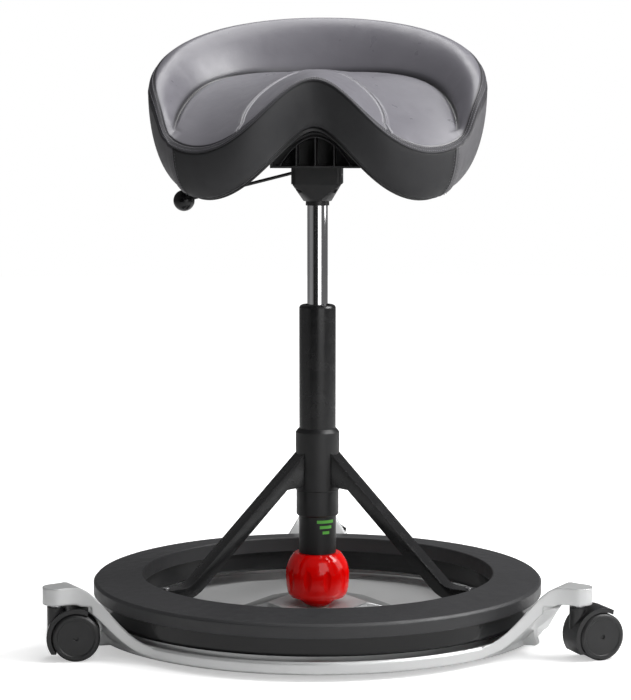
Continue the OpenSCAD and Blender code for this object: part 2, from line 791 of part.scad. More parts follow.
// Side outline of a leg: down from the collar, then round a bend and level to its end
leg_top_bend = (leg_root_z - leg_flat_z) / tan(leg_slope);
leg_arc = [leg_top_bend + leg_bend_r * tan(leg_slope / 2), leg_flat_z + leg_bend_r];
function leg_bend(r, share) = let (b = leg_slope * share) leg_arc - r * [sin(b), cos(b)];
function leg_line(x, drop) = [x, leg_root_z - drop - x * tan(leg_slope)];
module leg_side() {
    in_r = collar_r / 2;
    shares = [for (i = [0 : leg_bend_steps]) i / leg_bend_steps];
    polygon(concat(
        [leg_line(in_r, 0)],
        [for (s = shares) leg_bend(leg_bend_r, 1 - s)],
        [[leg_end, leg_flat_z], [leg_end, leg_flat_z - leg_h]],
        [for (s = shares) leg_bend(leg_bend_r + leg_h, s)],
        [leg_line(collar_r + leg_flare, leg_rise), leg_line(collar_r, leg_root_share * leg_rise),
            leg_line(in_r, leg_root_share * leg_rise)]));
}

module leg_solid() difference() {
    intersection() {
        rotate([90, 0, 0]) linear_extrude(leg_w, center = true) leg_side();
        linear_extrude(2 * collar_top) difference() {
            translate([0, -leg_w]) square([leg_end, 2 * leg_w]);
            circle(collar_r + seat_gap);
        }
    }
    translate([ring_in_r - ring_screw_in, 0, 0])
        cylinder(r = ring_screw_r + seat_gap, h = leg_flat_z + over);
}

module leg(i) color("black") rotate([0, 0, arm_angles[i]]) leg_solid();

function ring_face_z(r) = mix(ring_crown, ring_edge, (r - ring_in_r) / (ring_r - ring_in_r));

module tread_profile() {
    under = ring_face_z(ring_in_r + ring_wall) - tread_t;
    polygon([
        [ring_in_r, ring_split + ring_wall], [ring_in_r, ring_crown - over],
        [ring_in_r + over, ring_crown], [ring_r - ring_bevel, ring_face_z(ring_r - ring_bevel)],
        [ring_r, ring_edge - ring_bevel], [ring_r, ring_split], [ring_r - ring_wall, ring_split],
        [ring_r - ring_wall, ring_edge - ring_bevel - tread_t],
        [ring_in_r + ring_wall, under], [ring_in_r + ring_wall, ring_split + ring_wall]
    ]);
}

module foot_ring_tread() color("dimgray") difference() {
    rotate_extrude($fn = 180) tread_profile();
    for (a = arm_angles) rotate([0, 0, a]) leg_slot();
}

// Slot in the ring's inner wall for a leg's flat end
module leg_slot() translate([0, -leg_w / 2 - seat_gap, leg_flat_z - leg_h - seat_gap])
    cube([leg_end + seat_gap, leg_w + 2 * seat_gap, leg_h + 2 * seat_gap]);

module lower_profile() {
    r = ring_r - ring_inset;
    r_in = ring_in_r + ring_inset;
    polygon([
        [ring_r - ring_wall - seat_gap, ring_split - seat_gap + ring_groove],
        [ring_r - ring_wall - seat_gap, ring_split - seat_gap],
        [r, ring_split - ring_groove], [r, ring_low + ring_round], [r - over, ring_low + over],
        [r - ring_round, ring_low], [r_in + ring_round, ring_low], [r_in + over, ring_low + over],
        [r_in, ring_low + ring_round], [r_in, ring_split + ring_wall - seat_gap],
        [r_in + ring_wall, ring_split + ring_wall - seat_gap],
        [r_in + ring_wall, ring_low + ring_wall], [r - ring_wall, ring_low + ring_wall],
        [r - ring_wall, ring_split - seat_gap + ring_groove]
    ]);
}

// Lug on the lower ring, under the flat end of a leg
module leg_lug() intersection() {
    translate([ring_in_r - ring_lug_in, -leg_w / 2, leg_flat_z - leg_h - ring_lug_t])
        cube([ring_lug_in + ring_inset + ring_wall, leg_w, ring_lug_t - seat_gap]);
    union() {
        cylinder(r = ring_in_r + ring_inset + over, h = ring_split + ring_wall - seat_gap);
        cylinder(r = ring_in_r - seat_gap, h = ring_crown);
    }
}

module foot_ring_lower() color("black") difference() {
    union() {
        rotate_extrude($fn = 180) lower_profile();
        for (a = arm_angles) rotate([0, 0, a]) leg_lug();
    }
    for (a = arm_angles) rotate([0, 0, a]) {
        leg_slot();
        translate([ring_in_r - ring_screw_in, 0, 0])
            cylinder(r = ring_screw_r + seat_gap, h = ring_crown);
    }
}

module ring_screws() color("silver") for (a = arm_angles) rotate([0, 0, a])
    translate([ring_in_r - ring_screw_in, 0, 0]) {
        translate([0, 0, leg_flat_z - leg_h - ring_lug_t])
            cylinder(r = ring_screw_r, h = leg_h + ring_lug_t);
        translate([0, 0, leg_flat_z]) cylinder(r = ring_screw_head_r, h = ring_screw_head_h);
    }

module spindle_nut() color("goldenrod") translate([0, 0, web_low - nut_h]) difference() {
    cylinder(r = nut_r, h = nut_h, $fn = 6);
    translate([0, 0, -over]) cylinder(r = spindle_r + run, h = nut_h + 2 * over);
}

module column_sleeve() color("black") rotate_extrude() polygon([
    [rod_r + run, sleeve_low], [sleeve_r, sleeve_low], [sleeve_r, sleeve_top - sleeve_round],
    [sleeve_r - sleeve_round / 3, sleeve_top - sleeve_round / 3],
    [sleeve_r - sleeve_round, sleeve_top], [cylinder_r + sleeve_round, sleeve_top],
    [cylinder_r + sleeve_round, sleeve_top - sleeve_wall],
    [sleeve_r - sleeve_wall, sleeve_top - sleeve_round - sleeve_wall],
    [sleeve_r - sleeve_wall, sleeve_low + sleeve_plate_t],
    [rod_r + run, sleeve_low + sleeve_plate_t]
]);

module guide_bush() color("dimgray")
    translate([0, 0, sleeve_top - sleeve_round - 2 * sleeve_wall - bush_len]) difference() {
        cylinder(r = sleeve_r - sleeve_wall - seat_gap, h = bush_len);
        translate([0, 0, -over]) cylinder(r = cylinder_r + run, h = bush_len + 2 * over);
    }

bearing_z = sleeve_low + sleeve_plate_t;
module thrust_bearing() color("silver") translate([0, 0, bearing_z]) {
    difference() {
        union() {
            cylinder(r = bearing_r, h = bearing_h / 2 - ball_bearing_r);
            translate([0, 0, bearing_h / 2 - ball_bearing_r / 2])
                cylinder(r = bearing_r - over, h = ball_bearing_r);
            translate([0, 0, bearing_h / 2 + ball_bearing_r])
                cylinder(r = bearing_r, h = bearing_h / 2 - ball_bearing_r);
            for (i = [0 : ball_bearings - 1]) rotate([0, 0, i * 360 / ball_bearings])
                translate([(bearing_r + rod_r) / 2, 0, bearing_h / 2]) sphere(ball_bearing_r, $fn = small_sides);
        }
        translate([0, 0, -over]) cylinder(r = rod_r + run, h = bearing_h + 2 * over);
    }
}

// Gas spring's inner parts
module piston_rod() color("silver") {
    difference() {
        translate([0, 0, rod_foot]) cylinder(r = rod_r, h = piston_z + piston_h - rod_foot);
        translate([0, 0, rod_foot + clip_t]) difference() {
            cylinder(r = rod_r + over, h = clip_t);
            translate([0, 0, -over]) cylinder(r = rod_r - over, h = clip_t + 2 * over);
        }
    }
    translate([0, 0, piston_z]) cylinder(r = cylinder_r - cylinder_wall - run, h = piston_h);
    translate([0, 0, bearing_z + bearing_h]) cylinder(r = rod_r + 2 * over, h = clip_t);
}

module rod_clip() color("gray") translate([0, 0, rod_foot + clip_t + seat_gap]) difference() {
    cylinder(r = clip_r, h = clip_t - 2 * seat_gap);
    translate([0, 0, -over]) cylinder(r = rod_r - over + seat_gap, h = clip_t + 2 * over);
    translate([0, -rod_r / 2, -over]) cube([clip_r + over, rod_r, clip_t + 2 * over]);
}

module gas_cylinder() color("lightgray") difference() {
    translate([0, 0, cylinder_low]) cylinder(r = cylinder_r, h = cylinder_top - cylinder_low);
    translate([0, 0, cylinder_low - over])
        cylinder(r = cylinder_r - cylinder_wall, h = cylinder_top - cylinder_cap_t - cylinder_low + over);
    translate([0, 0, cylinder_top - cylinder_cap_t - over])
        cylinder(r = pin_r + run, h = cylinder_cap_t + 2 * over);
}

module cylinder_guide() color("dimgray") translate([0, 0, cylinder_low]) difference() {
    cylinder(r = cylinder_r - cylinder_wall - seat_gap, h = cylinder_guide_h);
    translate([0, 0, -over]) cylinder(r = rod_r + run, h = cylinder_guide_h + 2 * over);
}

module release_pin() color("silver") {
    translate([0, 0, cylinder_top - cylinder_cap_t - pin_up])
        cylinder(r = pin_r, h = cylinder_cap_t + pin_up + pin_proud);
    translate([0, 0, cylinder_top - cylinder_cap_t - pin_up - pin_foot_r / 2])
        cylinder(r = pin_foot_r, h = pin_foot_r / 2);
}

// Seat mechanism
module box_block() translate([0, 0, box_low]) linear_extrude(box_h)
    hull() for (x = [-1, 1]) for (y = [-1, 1])
        translate([x * (box_w / 2 - box_round), y * (box_l / 2 - box_round)])
            circle(box_round, $fn = round_sides);

module mechanism_housing() color("black") on_seat() difference() {
    union() {
        box_block();
        hull() {
            translate([0, 0, box_low - over]) linear_extrude(over + box_round)
                square([box_w * funnel_w_share, box_l * funnel_w_share], center = true);
            translate([0, 0, neck_low + box_round]) cylinder(r = neck_wall_r + box_round / 2, h = over, $fn = round_sides);
        }
        translate([0, 0, neck_low]) cylinder(r = neck_wall_r, h = box_low - neck_low);
    }
    translate([0, 0, neck_low - over]) cylinder(r = socket_r, h = cylinder_top - neck_low + over);
    translate([0, 0, cylinder_top - over])
        cylinder(r = pin_foot_r + over, h = box_top - cylinder_top + 2 * over);
    lever_room();
    translate([lever_root_x, 0, lever_root_z]) rotate([90, 0, 0])
        cylinder(r = pin_hole_r + seat_gap, h = 3 * lever_eye_t, center = true);
    housing_screw_holes(screw_r + seat_gap, 2 * box_h);
}

// Slot through the housing's side for the lever and its swing
module lever_room() translate([-box_w / 2 - over, -lever_eye_t / 2 - clear,
        lever_root_z - 2 * lever_eye_r])
    cube([box_w / 2 + over + pin_foot_r, lever_eye_t + 2 * clear, box_top]);

module housing_screw_holes(r, h) for (x = [-1, 1])
    translate([x * pocket_reach, -box_l / 2 + 2 * box_round, box_low - box_round])
        rotate([0, x * pocket_tilt / 2, 0]) {
            translate([0, 0, -box_round]) cylinder(r = pocket_r, h = 2 * box_round);
            cylinder(r = r, h = h);
        }

module housing_screws() color("silver") on_seat() for (x = [-1, 1])
    translate([x * pocket_reach, -box_l / 2 + 2 * box_round, box_low - box_round])
        rotate([0, x * pocket_tilt / 2, 0]) {
            translate([0, 0, box_round - pocket_r / 2]) cylinder(r = pocket_r - over, h = pocket_r / 2);
            translate([0, 0, box_round]) cylinder(r = screw_r, h = box_h - box_round);
        }

bracket_low = box_top + clear;

// Ribbed bracket between the housing and the seat's shell
bracket_x = bracket_w / 2;
bracket_y = bracket_l / 2;
function bracket_top(x, y) = under_z([x, y]) - clear - shell_t - bracket_gap;
// Arch rib on the bracket's front, a share of the way up from the wall under it
function arch_z(x) = bracket_low + bracket_wall
    + (arch_rise - bracket_wall) * (1 - pow(x / arch_half, 2));
// Cuts a pocket of a given depth into the bracket's front, from a floor to a line over x
module front_pocket(xs, deep, floor_z, roof_z)
    translate([0, deep - bracket_y, 0]) rotate([90, 0, 0]) linear_extrude(deep + over)
        polygon(concat([for (i = [0 : len(xs) - 1]) [xs[i], roof_z[i]]],
            [for (i = [len(xs) - 1 : -1 : 0]) [xs[i], floor_z[i]]]));
bracket_floor = bracket_low + bracket_wall;
module seat_bracket() color("black") on_seat() difference() {
    slab([for (y = [-bracket_y : bracket_l / 6 : bracket_y])
            [for (x = [-bracket_x : bracket_w / 12 : bracket_x]) [x, y, bracket_top(x, y)]]],
        [for (y = [-bracket_y : bracket_l / 6 : bracket_y])
            [for (x = [-bracket_x : bracket_w / 12 : bracket_x]) [x, y, bracket_low]]]);
    across = [for (x = [-bracket_x + bracket_wall : bracket_wall : bracket_x - bracket_wall]) x];
    front_pocket(across, recess_deep,
        [for (x = across) max(arch_z(x) + bracket_rib / 2, bracket_floor)],
        [for (x = across) bracket_top(x, -bracket_y) - bracket_wall]);
    for (side = [-1, 1]) {
        near = [bracket_rib / 2, side_rib_x - bracket_rib / 2];
        far = [side_rib_x + bracket_rib / 2, arch_half - bracket_rib];
        for (ends = [near, far]) {
            xs = [for (x = span(ends[0], ends[1], bracket_wall)) side * x];
            front_pocket(xs, bracket_l / 3, [for (x = xs) bracket_floor],
                [for (x = xs) arch_z(x) - bracket_rib / 2]);
        }
        for (y = [-bolt_y, bolt_y]) translate([side * bolt_x, y, 0]) {
            translate([0, 0, bracket_low - over]) cylinder(r = bolt_r + seat_gap, h = arch_rise * 2);
            translate([0, 0, bracket_low - over])
                cylinder(r = bolt_head_r + clear, h = bolt_seat_z(y) - bracket_low + over);
        }
    }
}

function bolt_tip_z(y) = under_z([bolt_x, y]) - clear - bolt_bite;
function bolt_seat_z(y) = bolt_tip_z(y) - bolt_l;
module bracket_bolts() color("silver") on_seat() for (x = [-1, 1]) for (y = [-bolt_y, bolt_y])
    translate([x * bolt_x, y, bolt_seat_z(y)]) {
        translate([0, 0, -bolt_head_h]) cylinder(r = bolt_head_r, h = bolt_head_h, $fn = 6);
        cylinder(r = bolt_r, h = bolt_l);
    }

module lever_pin() color("silver") on_seat() translate([lever_root_x, 0, lever_root_z])
    rotate([90, 0, 0]) cylinder(r = pin_hole_r, h = 3 * lever_eye_t, center = true);

// A rod between two points
module rod_between(p, q, r) {
    d = q - p;
    translate(p) rotate([0, acos(d[2] / norm(d)), atan2(d[1], d[0])]) cylinder(r = r, h = norm(d));
}

lever_from = [lever_root_x, 0, lever_root_z];
lever_to = [-knob_reach, 0, knob_z];
lever_dir = (lever_to - lever_from) / norm(lever_to - lever_from);
module lever_rod() color("black") on_seat() difference() {
    union() {
        rod_between(lever_from, lever_to - lever_dir * (knob_d / 2 - knob_neck), lever_r);
        translate(lever_from) rotate([90, 0, 0])
            cylinder(r = lever_eye_r, h = lever_eye_t, center = true);
        translate([0, 0, lever_root_z]) rotate([90, 0, 0])
            cylinder(r = lever_nose_r, h = lever_eye_t, center = true);
        translate([lever_root_x, -lever_eye_t / 2, lever_root_z - lever_nose_r + lever_nose_rise])
            cube([-lever_root_x, lever_eye_t, 2 * (lever_nose_r - lever_nose_rise)]);
    }
    translate(lever_from) rotate([90, 0, 0]) cylinder(r = pin_hole_r + run, h = 2 * lever_eye_t, center = true);
}

module lever_knob() color("black") on_seat() difference() {
    translate(lever_to) sphere(knob_d / 2);
    rod_between(lever_from, lever_to - lever_dir * (knob_d / 2 - knob_neck - seat_gap), lever_r + seat_gap);
}

// Seat
function span(from, to, step) = concat([from],
    [for (a = [step * (floor(from / step) + 1) : step : to - step / 10]) a], [to]);
around = concat([for (a = [0 : a_step : fine_from - a_step]) a],
    [for (a = [fine_from : a_step / 2 : fine_to - a_step / 2]) a],
    [for (a = [fine_to : a_step : 360 - a_step]) a]);
shell_shares = [0.25, 0.5, 0.75, 1];
shell_edge_share = 0.974;
under_shares = shell_shares * foam_low_share;
shell_rings = concat(under_shares, [shell_edge_share]);
module seat_shell() color("black") on_seat() difference() {
    domed([0, crown_c, under_z([0, crown_c]) - clear],
        [for (s = shell_rings) [for (a = around) under_point(a, s, clear)]],
        [0, crown_c, under_z([0, crown_c]) - clear - shell_t],
        [for (s = shell_rings) [for (a = around) under_point(a, s, clear + shell_t)]]);
    for (x = [-bolt_x, bolt_x]) for (y = [-bolt_y, bolt_y]) translate([x, y, bolt_seat_z(y)])
        cylinder(r = bolt_r + seat_gap, h = 2 * bolt_l);
}

pan_shares = [0.25, 0.5, 0.75, 0.92, 1];
bowl_shares = [0, 0.2, 0.4, 0.6, 0.8, 1];
band_shares = [0, 0.2, 0.4, 0.6, 0.8, 1];
foam_side_shares = [0.2, 0.6];
panel_gap_share = (1 - cover_edge_share) / 3;
function bowl_place(a, s) = mix(bowl_at(a) + panel_gap_share, cover_edge_share, s);
function pan_out(a) = min(bowl_at(a) - panel_gap_share, cover_edge_share);
function foam_rim(s) = mix(foam_edge_share - 2 * panel_gap_share, foam_edge_share, s);
function foam_in(a, s) = min(s * pan_out(a), foam_rim(-1));
function foam_out(a, s) = min(bowl_place(a, s), foam_rim(s));
module foam_core() color("khaki") on_seat() {
    tuck = cover_t + foam_gap;
    domed([0, crown_c, seat_z(90, 0) - tuck],
        concat([for (s = pan_shares) [for (a = around) seat_point(a, foam_in(a, s), tuck)]],
            [for (s = bowl_shares) [for (a = around)
                seat_point(a, foam_out(a, s), tuck + (s == 1 ? foam_edge_drop : 0))]],
            [for (s = foam_side_shares) [for (a = around) band_point(a, s, tuck)]]),
        [0, crown_c, under_z([0, crown_c])],
        [for (s = under_shares) [for (a = around) under_point(a, s, 0)]]);
}

module side_band() color([0.22, 0.22, 0.23]) on_seat()
    ring_of([for (a = around) concat(
        [for (s = band_shares) band_point(a, s, 0)],
        [for (i = [len(band_shares) - 1 : -1 : 0]) band_point(a, band_shares[i], cover_t)])]);

module bowl_cover() color([0.42, 0.41, 0.45]) on_seat() {
    from = a_step * ceil(front_angle / a_step);
    as = [for (a = [from : a_step : 180 - from]) a];
    slab([for (a = as) [for (s = bowl_shares) seat_point(a, bowl_place(a, s), 0)]],
        [for (a = as) [for (s = bowl_shares) seat_point(a, bowl_place(a, s), cover_t)]]);
}

pole_share = 0.03;
function bowed(a, s) = let (m = mirrored(a) + 90, bow = pommel_bow_a * sin(180 * s))
    a + (cos(a) < 0 ? -1 : 1) * bow
        * (m < pommel_half_a ? m / pommel_half_a : max(1 - (m - pommel_half_a) / (90 + pommel_half_a), 0));
function pan_point(a, s, deep) = seat_point(bowed(a, s), s * pan_out(a), deep);
module pan_cover(from, to, step) {
    as = span(from, to, step);
    slab([for (a = as) [for (s = concat([pole_share], pan_shares)) pan_point(a, s, 0)]],
        [for (a = as) [for (s = concat([pole_share], pan_shares)) pan_point(a, s, cover_t)]]);
}

module seat_cover() color([0.4, 0.4, 0.43]) on_seat()
    pan_cover(-90 + pommel_half_a + panel_gap_a, 270 - pommel_half_a - panel_gap_a, a_step);
module pommel_cover() color([0.42, 0.42, 0.45]) on_seat()
    pan_cover(-90 - pommel_half_a + panel_gap_a, -90 + pommel_half_a - panel_gap_a, a_step / 2);

tab_w = 14;
tab_h = 18;
tab_t = 1.2;
tab_a = 12;
tab_share = 0.12;
module seat_tab() color("dimgray") on_seat() {
    p = band_point(tab_a, tab_share, 0);
    q = band_point(tab_a + a_step, tab_share, 0);
    translate(p) rotate([0, 0, atan2(q[1] - p[1], q[0] - p[0]) - 90])
        translate([clear, -tab_w / 2, -tab_h]) cube([tab_t, tab_w, tab_h]);
}

base_casting();
castor_bushes();
ball_pad();
at_castor(LEFT) castor_stem();  // castor_stem_left
at_castor(LEFT) castor_hood();  // castor_hood_left
at_castor(LEFT) castor_axle();  // castor_axle_left
at_castor(LEFT) castor_wheel(-1);  // castor_wheel_left_front
at_castor(LEFT) castor_wheel(1);  // castor_wheel_left_rear
at_castor(RIGHT) castor_stem();  // castor_stem_right
at_castor(RIGHT) castor_hood();  // castor_hood_right
at_castor(RIGHT) castor_axle();  // castor_axle_right
at_castor(RIGHT) castor_wheel(-1);  // castor_wheel_right_front
at_castor(RIGHT) castor_wheel(1);  // castor_wheel_right_rear
at_castor(BACK) castor_stem();  // castor_stem_back
at_castor(BACK) castor_hood();  // castor_hood_back
at_castor(BACK) castor_axle();  // castor_axle_back
at_castor(BACK) castor_wheel(-1);  // castor_wheel_back_front
at_castor(BACK) castor_wheel(1);  // castor_wheel_back_rear
guide_tube();
level_marks();
spindle_washer();
red_ball();
ball_spindle();
collar();
leg(LEFT);  // leg_left
leg(RIGHT);  // leg_right
leg(BACK);  // leg_back
foot_ring_tread();
foot_ring_lower();
ring_screws();
spindle_nut();
column_sleeve();
guide_bush();
thrust_bearing();
piston_rod();
rod_clip();
gas_cylinder();
cylinder_guide();
release_pin();
mechanism_housing();
housing_screws();
seat_bracket();
bracket_bolts();
lever_pin();
lever_rod();
lever_knob();
seat_shell();
foam_core();
side_band();
bowl_cover();
seat_cover();
pommel_cover();
seat_tab();
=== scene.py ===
# %% [markdown]
# # An active sitting chair
# The chair is a saddle seat on a gas spring. The column stands on a red ball that rocks in a dish,
# a foot ring hangs round it on three legs, and the dish runs on three twin castors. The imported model
# gives the frame and the hard parts. This notebook gives them their finishes, sews the seat's
# upholstery, and sets the studio.

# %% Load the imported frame
import bpy
import math
import numpy as np
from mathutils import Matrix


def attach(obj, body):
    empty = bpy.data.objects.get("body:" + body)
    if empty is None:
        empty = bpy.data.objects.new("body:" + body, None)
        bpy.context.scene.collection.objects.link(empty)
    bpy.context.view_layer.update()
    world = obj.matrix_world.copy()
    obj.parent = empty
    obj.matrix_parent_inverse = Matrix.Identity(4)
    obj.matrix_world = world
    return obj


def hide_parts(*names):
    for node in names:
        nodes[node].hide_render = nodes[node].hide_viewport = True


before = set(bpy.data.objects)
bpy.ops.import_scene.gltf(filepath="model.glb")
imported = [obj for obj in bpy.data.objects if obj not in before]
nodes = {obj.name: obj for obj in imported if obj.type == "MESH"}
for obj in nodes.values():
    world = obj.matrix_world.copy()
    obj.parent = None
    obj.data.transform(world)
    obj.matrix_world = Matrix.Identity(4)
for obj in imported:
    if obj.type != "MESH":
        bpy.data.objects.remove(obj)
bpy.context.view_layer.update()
print(len(nodes), "pieces in the frame")

# %% [markdown]
# ## The camera
# The photograph was taken from the front, a little above the foot ring, with a long lens. The ring,
# the column and the base give the distance, the height and the tilt, so the camera is set from those
# and not by eye. The small shift puts the column two pixels to the right of the middle.

# %% Camera
CAMERA_BACK, CAMERA_UP, CAMERA_TILT = 3.0, 0.693, 5.9
FOCAL_PX, PHOTO_W, COLUMN_OFF_PX, SENSOR_W = 2204, 631, 2, 36
bpy.ops.object.camera_add(location=(0, -CAMERA_BACK, CAMERA_UP),
                          rotation=(math.radians(90 - CAMERA_TILT), 0, 0))
camera = bpy.context.object
camera.name = "photo_camera"
camera.data.sensor_fit = "HORIZONTAL"
camera.data.sensor_width = SENSOR_W
camera.data.lens = SENSOR_W * FOCAL_PX / PHOTO_W
camera.data.shift_x = -COLUMN_OFF_PX / PHOTO_W
bpy.context.scene.camera = camera
print("lens", round(camera.data.lens, 1), "mm")

# %% [markdown]
# ## The studio
# The chair stands on white paper under a wide overhead box. A high key lamp at the right makes the
# right side of the seat and base the brighter one, and an upright box to the right of the camera
# makes the patch on the ball and the white stripe down the chromed tube. Two dim panels stand at the
# sides. Small helpers add shader nodes and join them, for the room here and for the finishes later.

# %% Light and node helpers
def round_the_chair(azimuth, distance, height):
    a = math.radians(azimuth)
    return (distance * math.sin(a), -distance * math.cos(a), height)


def soft_box(name, place, aim, width, height, power):
    bpy.ops.object.light_add(type="AREA", location=place)
    lamp = bpy.context.object
    lamp.name = name
    lamp.data.shape = "RECTANGLE"
    lamp.data.size, lamp.data.size_y = width, height
    lamp.data.energy = power
    look = np.array(aim) - np.array(place)
    yaw = math.atan2(look[1], look[0]) - math.pi / 2
    pitch = math.pi / 2 + math.atan2(look[2], math.hypot(look[0], look[1]))
    lamp.rotation_euler = (pitch, 0, yaw)
    print(name, "at", [round(v, 2) for v in place], power, "W")


def set_inputs(node, **values):
    for key, value in values.items():
        node.inputs[key.replace("_", " ")].default_value = value


def add_node(tree, kind, **values):
    node = tree.nodes.new("ShaderNode" + kind)
    set_inputs(node, **values)
    return node


def join(tree, *pairs):
    for source, socket in pairs:
        tree.links.new(source, socket)


# %% Lights
# Each row holds a name, a place, the height aimed at, the width and height, and the watts.
LAMPS = (
    ("front_box", round_the_chair(25, 1.75, 1.08), 0.75, 1.15, 1.7, 11.5),
    ("left_panel", round_the_chair(-78, 1.9, 0.9), 0.6, 1.5, 1.5, 0.6),
    ("top_box", (0.2, 0.3, 2.4), 0.5, 1.7, 1.5, 36),
    ("high_key", (1.6, -0.2, 1.9), 0.7, 1.2, 1.2, 46),
    ("right_panel", round_the_chair(97, 2.0, 1.1), 0.6, 1.0, 1.3, 7),
)
for name, place, aim_height, width, height, watts in LAMPS:
    soft_box(name, place, (0, 0, aim_height), width, height, watts)

# %% [markdown]
# Chrome shows only what stands round it. The dark stripe at the left of its tube is a black card that
# stands between the camera and the left panel and that the camera itself can't see.

# %% The black card
CARD_AZIMUTH, CARD_BACK, CARD_HEIGHT = -24, 2.1, 0.75
CARD_SIZE, CARD_BLACK = (1.75, 1.5), (0.01, 0.01, 0.01, 1)
card_place = round_the_chair(CARD_AZIMUTH, CARD_BACK, CARD_HEIGHT)
card_turn = (math.radians(90), 0, math.radians(CARD_AZIMUTH))
bpy.ops.mesh.primitive_plane_add(size=1, location=card_place, rotation=card_turn)
card = bpy.context.object
card.name = "dark_card"
card.scale = (*CARD_SIZE, 1)
card_mat = bpy.data.materials.new("black_card")
card_mat.use_nodes = True
set_inputs(card_mat.node_tree.nodes["Principled BSDF"], Base_Color=CARD_BLACK, Roughness=1)
card.data.materials.append(card_mat)
card.visible_camera = False
print("black card set")

# %% [markdown]
# The world is white where the camera looks past the paper, an even fill where it lights the chair,
# and a darker grey where a gloss surface mirrors it, so that black plastic stays black.

# %% World
WHITE = (1, 1, 1, 1)
FILL_STRENGTH, MIRROR_GREY = 0.16, (0.13, 0.13, 0.132, 1)
world = bpy.data.worlds.new("studio_room")
bpy.context.scene.world = world
world.use_nodes = True
tree = world.node_tree
tree.nodes.clear()
rays = add_node(tree, "LightPath")
fill = add_node(tree, "Background", Color=WHITE, Strength=FILL_STRENGTH)
mirror = add_node(tree, "Background", Color=MIRROR_GREY)
paper = add_node(tree, "Background", Color=WHITE)
lit = add_node(tree, "MixShader")
seen = add_node(tree, "MixShader")
out = add_node(tree, "OutputWorld")
join(tree,
     (rays.outputs["Is Glossy Ray"], lit.inputs[0]),
     (fill.outputs[0], lit.inputs[1]),
     (mirror.outputs[0], lit.inputs[2]),
     (rays.outputs["Is Camera Ray"], seen.inputs[0]),
     (lit.outputs[0], seen.inputs[1]),
     (paper.outputs[0], seen.inputs[2]),
     (seen.outputs[0], out.inputs["Surface"]))
bpy.context.scene.view_settings.view_transform = "Standard"
print("world set")

# %% [markdown]
# The paper floor is white all over in the photograph. The lamps light it well only near the chair,
# so its own white grows with the distance from the column, and the shadow under the base stays.

# %% Floor
FLOOR_R, FLOOR_SIDES, PAPER_GREY = 7, 96, (0.82, 0.82, 0.82, 1)
GLOW_FROM, GLOW_TO, GLOW_NEAR, GLOW_FAR = 0.35, 1.6, 0.46, 0.98
bpy.ops.mesh.primitive_circle_add(vertices=FLOOR_SIDES, radius=FLOOR_R, fill_type="NGON")
floor = bpy.context.object
floor.name = "paper_floor"
paper_mat = bpy.data.materials.new("white_paper")
paper_mat.use_nodes = True
tree = paper_mat.node_tree
tree.nodes.clear()
sheet = add_node(tree, "BsdfDiffuse", Color=PAPER_GREY)
coords = add_node(tree, "TexCoord")
distance = add_node(tree, "VectorMath")
distance.operation = "LENGTH"
grow = add_node(tree, "MapRange", From_Min=GLOW_FROM, From_Max=GLOW_TO,
                To_Min=GLOW_NEAR, To_Max=GLOW_FAR)
grow.interpolation_type = "SMOOTHSTEP"
rays = add_node(tree, "LightPath")
seen = add_node(tree, "Math")
seen.operation = "MULTIPLY"
glow = add_node(tree, "Emission", Color=WHITE)
both = add_node(tree, "AddShader")
out = add_node(tree, "OutputMaterial")
join(tree,
     (coords.outputs["Object"], distance.inputs[0]),
     (distance.outputs["Value"], grow.inputs["Value"]),
     (grow.outputs["Result"], seen.inputs[0]),
     (rays.outputs["Is Camera Ray"], seen.inputs[1]),
     (seen.outputs[0], glow.inputs["Strength"]),
     (sheet.outputs[0], both.inputs[0]),
     (glow.outputs[0], both.inputs[1]),
     (both.outputs[0], out.inputs["Surface"]))
floor.data.materials.append(paper_mat)
print("floor set")

# %% [markdown]
# ## Finishes
# Each finish is one Principled shader with its grain made from noise on Object coordinates, which
# are metres here, so a grain scale is a count per metre. A Bevel node softens the edges of the cut
# metal and moulded plastic in the shading, because no real casting has a knife edge.

# %% Finish helpers
NOISE_LOW, NOISE_HIGH = 0.3, 0.7


def new_finish(name, colour, metallic=0.0, rough=0.4, specular=0.5):
    mat = bpy.data.materials.new(name)
    mat.use_nodes = True
    shader = mat.node_tree.nodes["Principled BSDF"]
    set_inputs(shader, Base_Color=(*colour, 1), Metallic=metallic, Roughness=rough,
               Specular_IOR_Level=specular)
    return mat, shader


def object_noise(mat, scale, detail=3.0, stretch=(1, 1, 1)):
    coords = add_node(mat.node_tree, "TexCoord")
    place = add_node(mat.node_tree, "Mapping", Scale=stretch)
    noise = add_node(mat.node_tree, "TexNoise", Scale=scale, Detail=detail)
    join(mat.node_tree,
         (coords.outputs["Object"], place.inputs["Vector"]),
         (place.outputs["Vector"], noise.inputs["Vector"]))
    return noise.outputs["Fac"]


def vary_roughness(mat, shader, source, low, high):
    ramp = add_node(mat.node_tree, "MapRange", From_Min=NOISE_LOW, From_Max=NOISE_HIGH,
                    To_Min=low, To_Max=high)
    join(mat.node_tree,
         (source, ramp.inputs["Value"]),
         (ramp.outputs["Result"], shader.inputs["Roughness"]))


def tint(mat, shader, source, dark, light):
    mix = mat.node_tree.nodes.new("ShaderNodeMix")
    mix.data_type = "RGBA"
    set_inputs(mix, A=(*dark, 1), B=(*light, 1))
    join(mat.node_tree,
         (source, mix.inputs["Factor"]),
         (mix.outputs["Result"], shader.inputs["Base Color"]))
    return mix.outputs["Result"]


def grain(mat, shader, source, strength, depth, edge=0.0):
    bump = add_node(mat.node_tree, "Bump", Strength=strength, Distance=depth)
    join(mat.node_tree, (source, bump.inputs["Height"]))
    if edge:
        soft = add_node(mat.node_tree, "Bevel", Radius=edge)
        soft.samples = 4
        join(mat.node_tree, (soft.outputs["Normal"], bump.inputs["Normal"]))
    join(mat.node_tree, (bump.outputs["Normal"], shader.inputs["Normal"]))


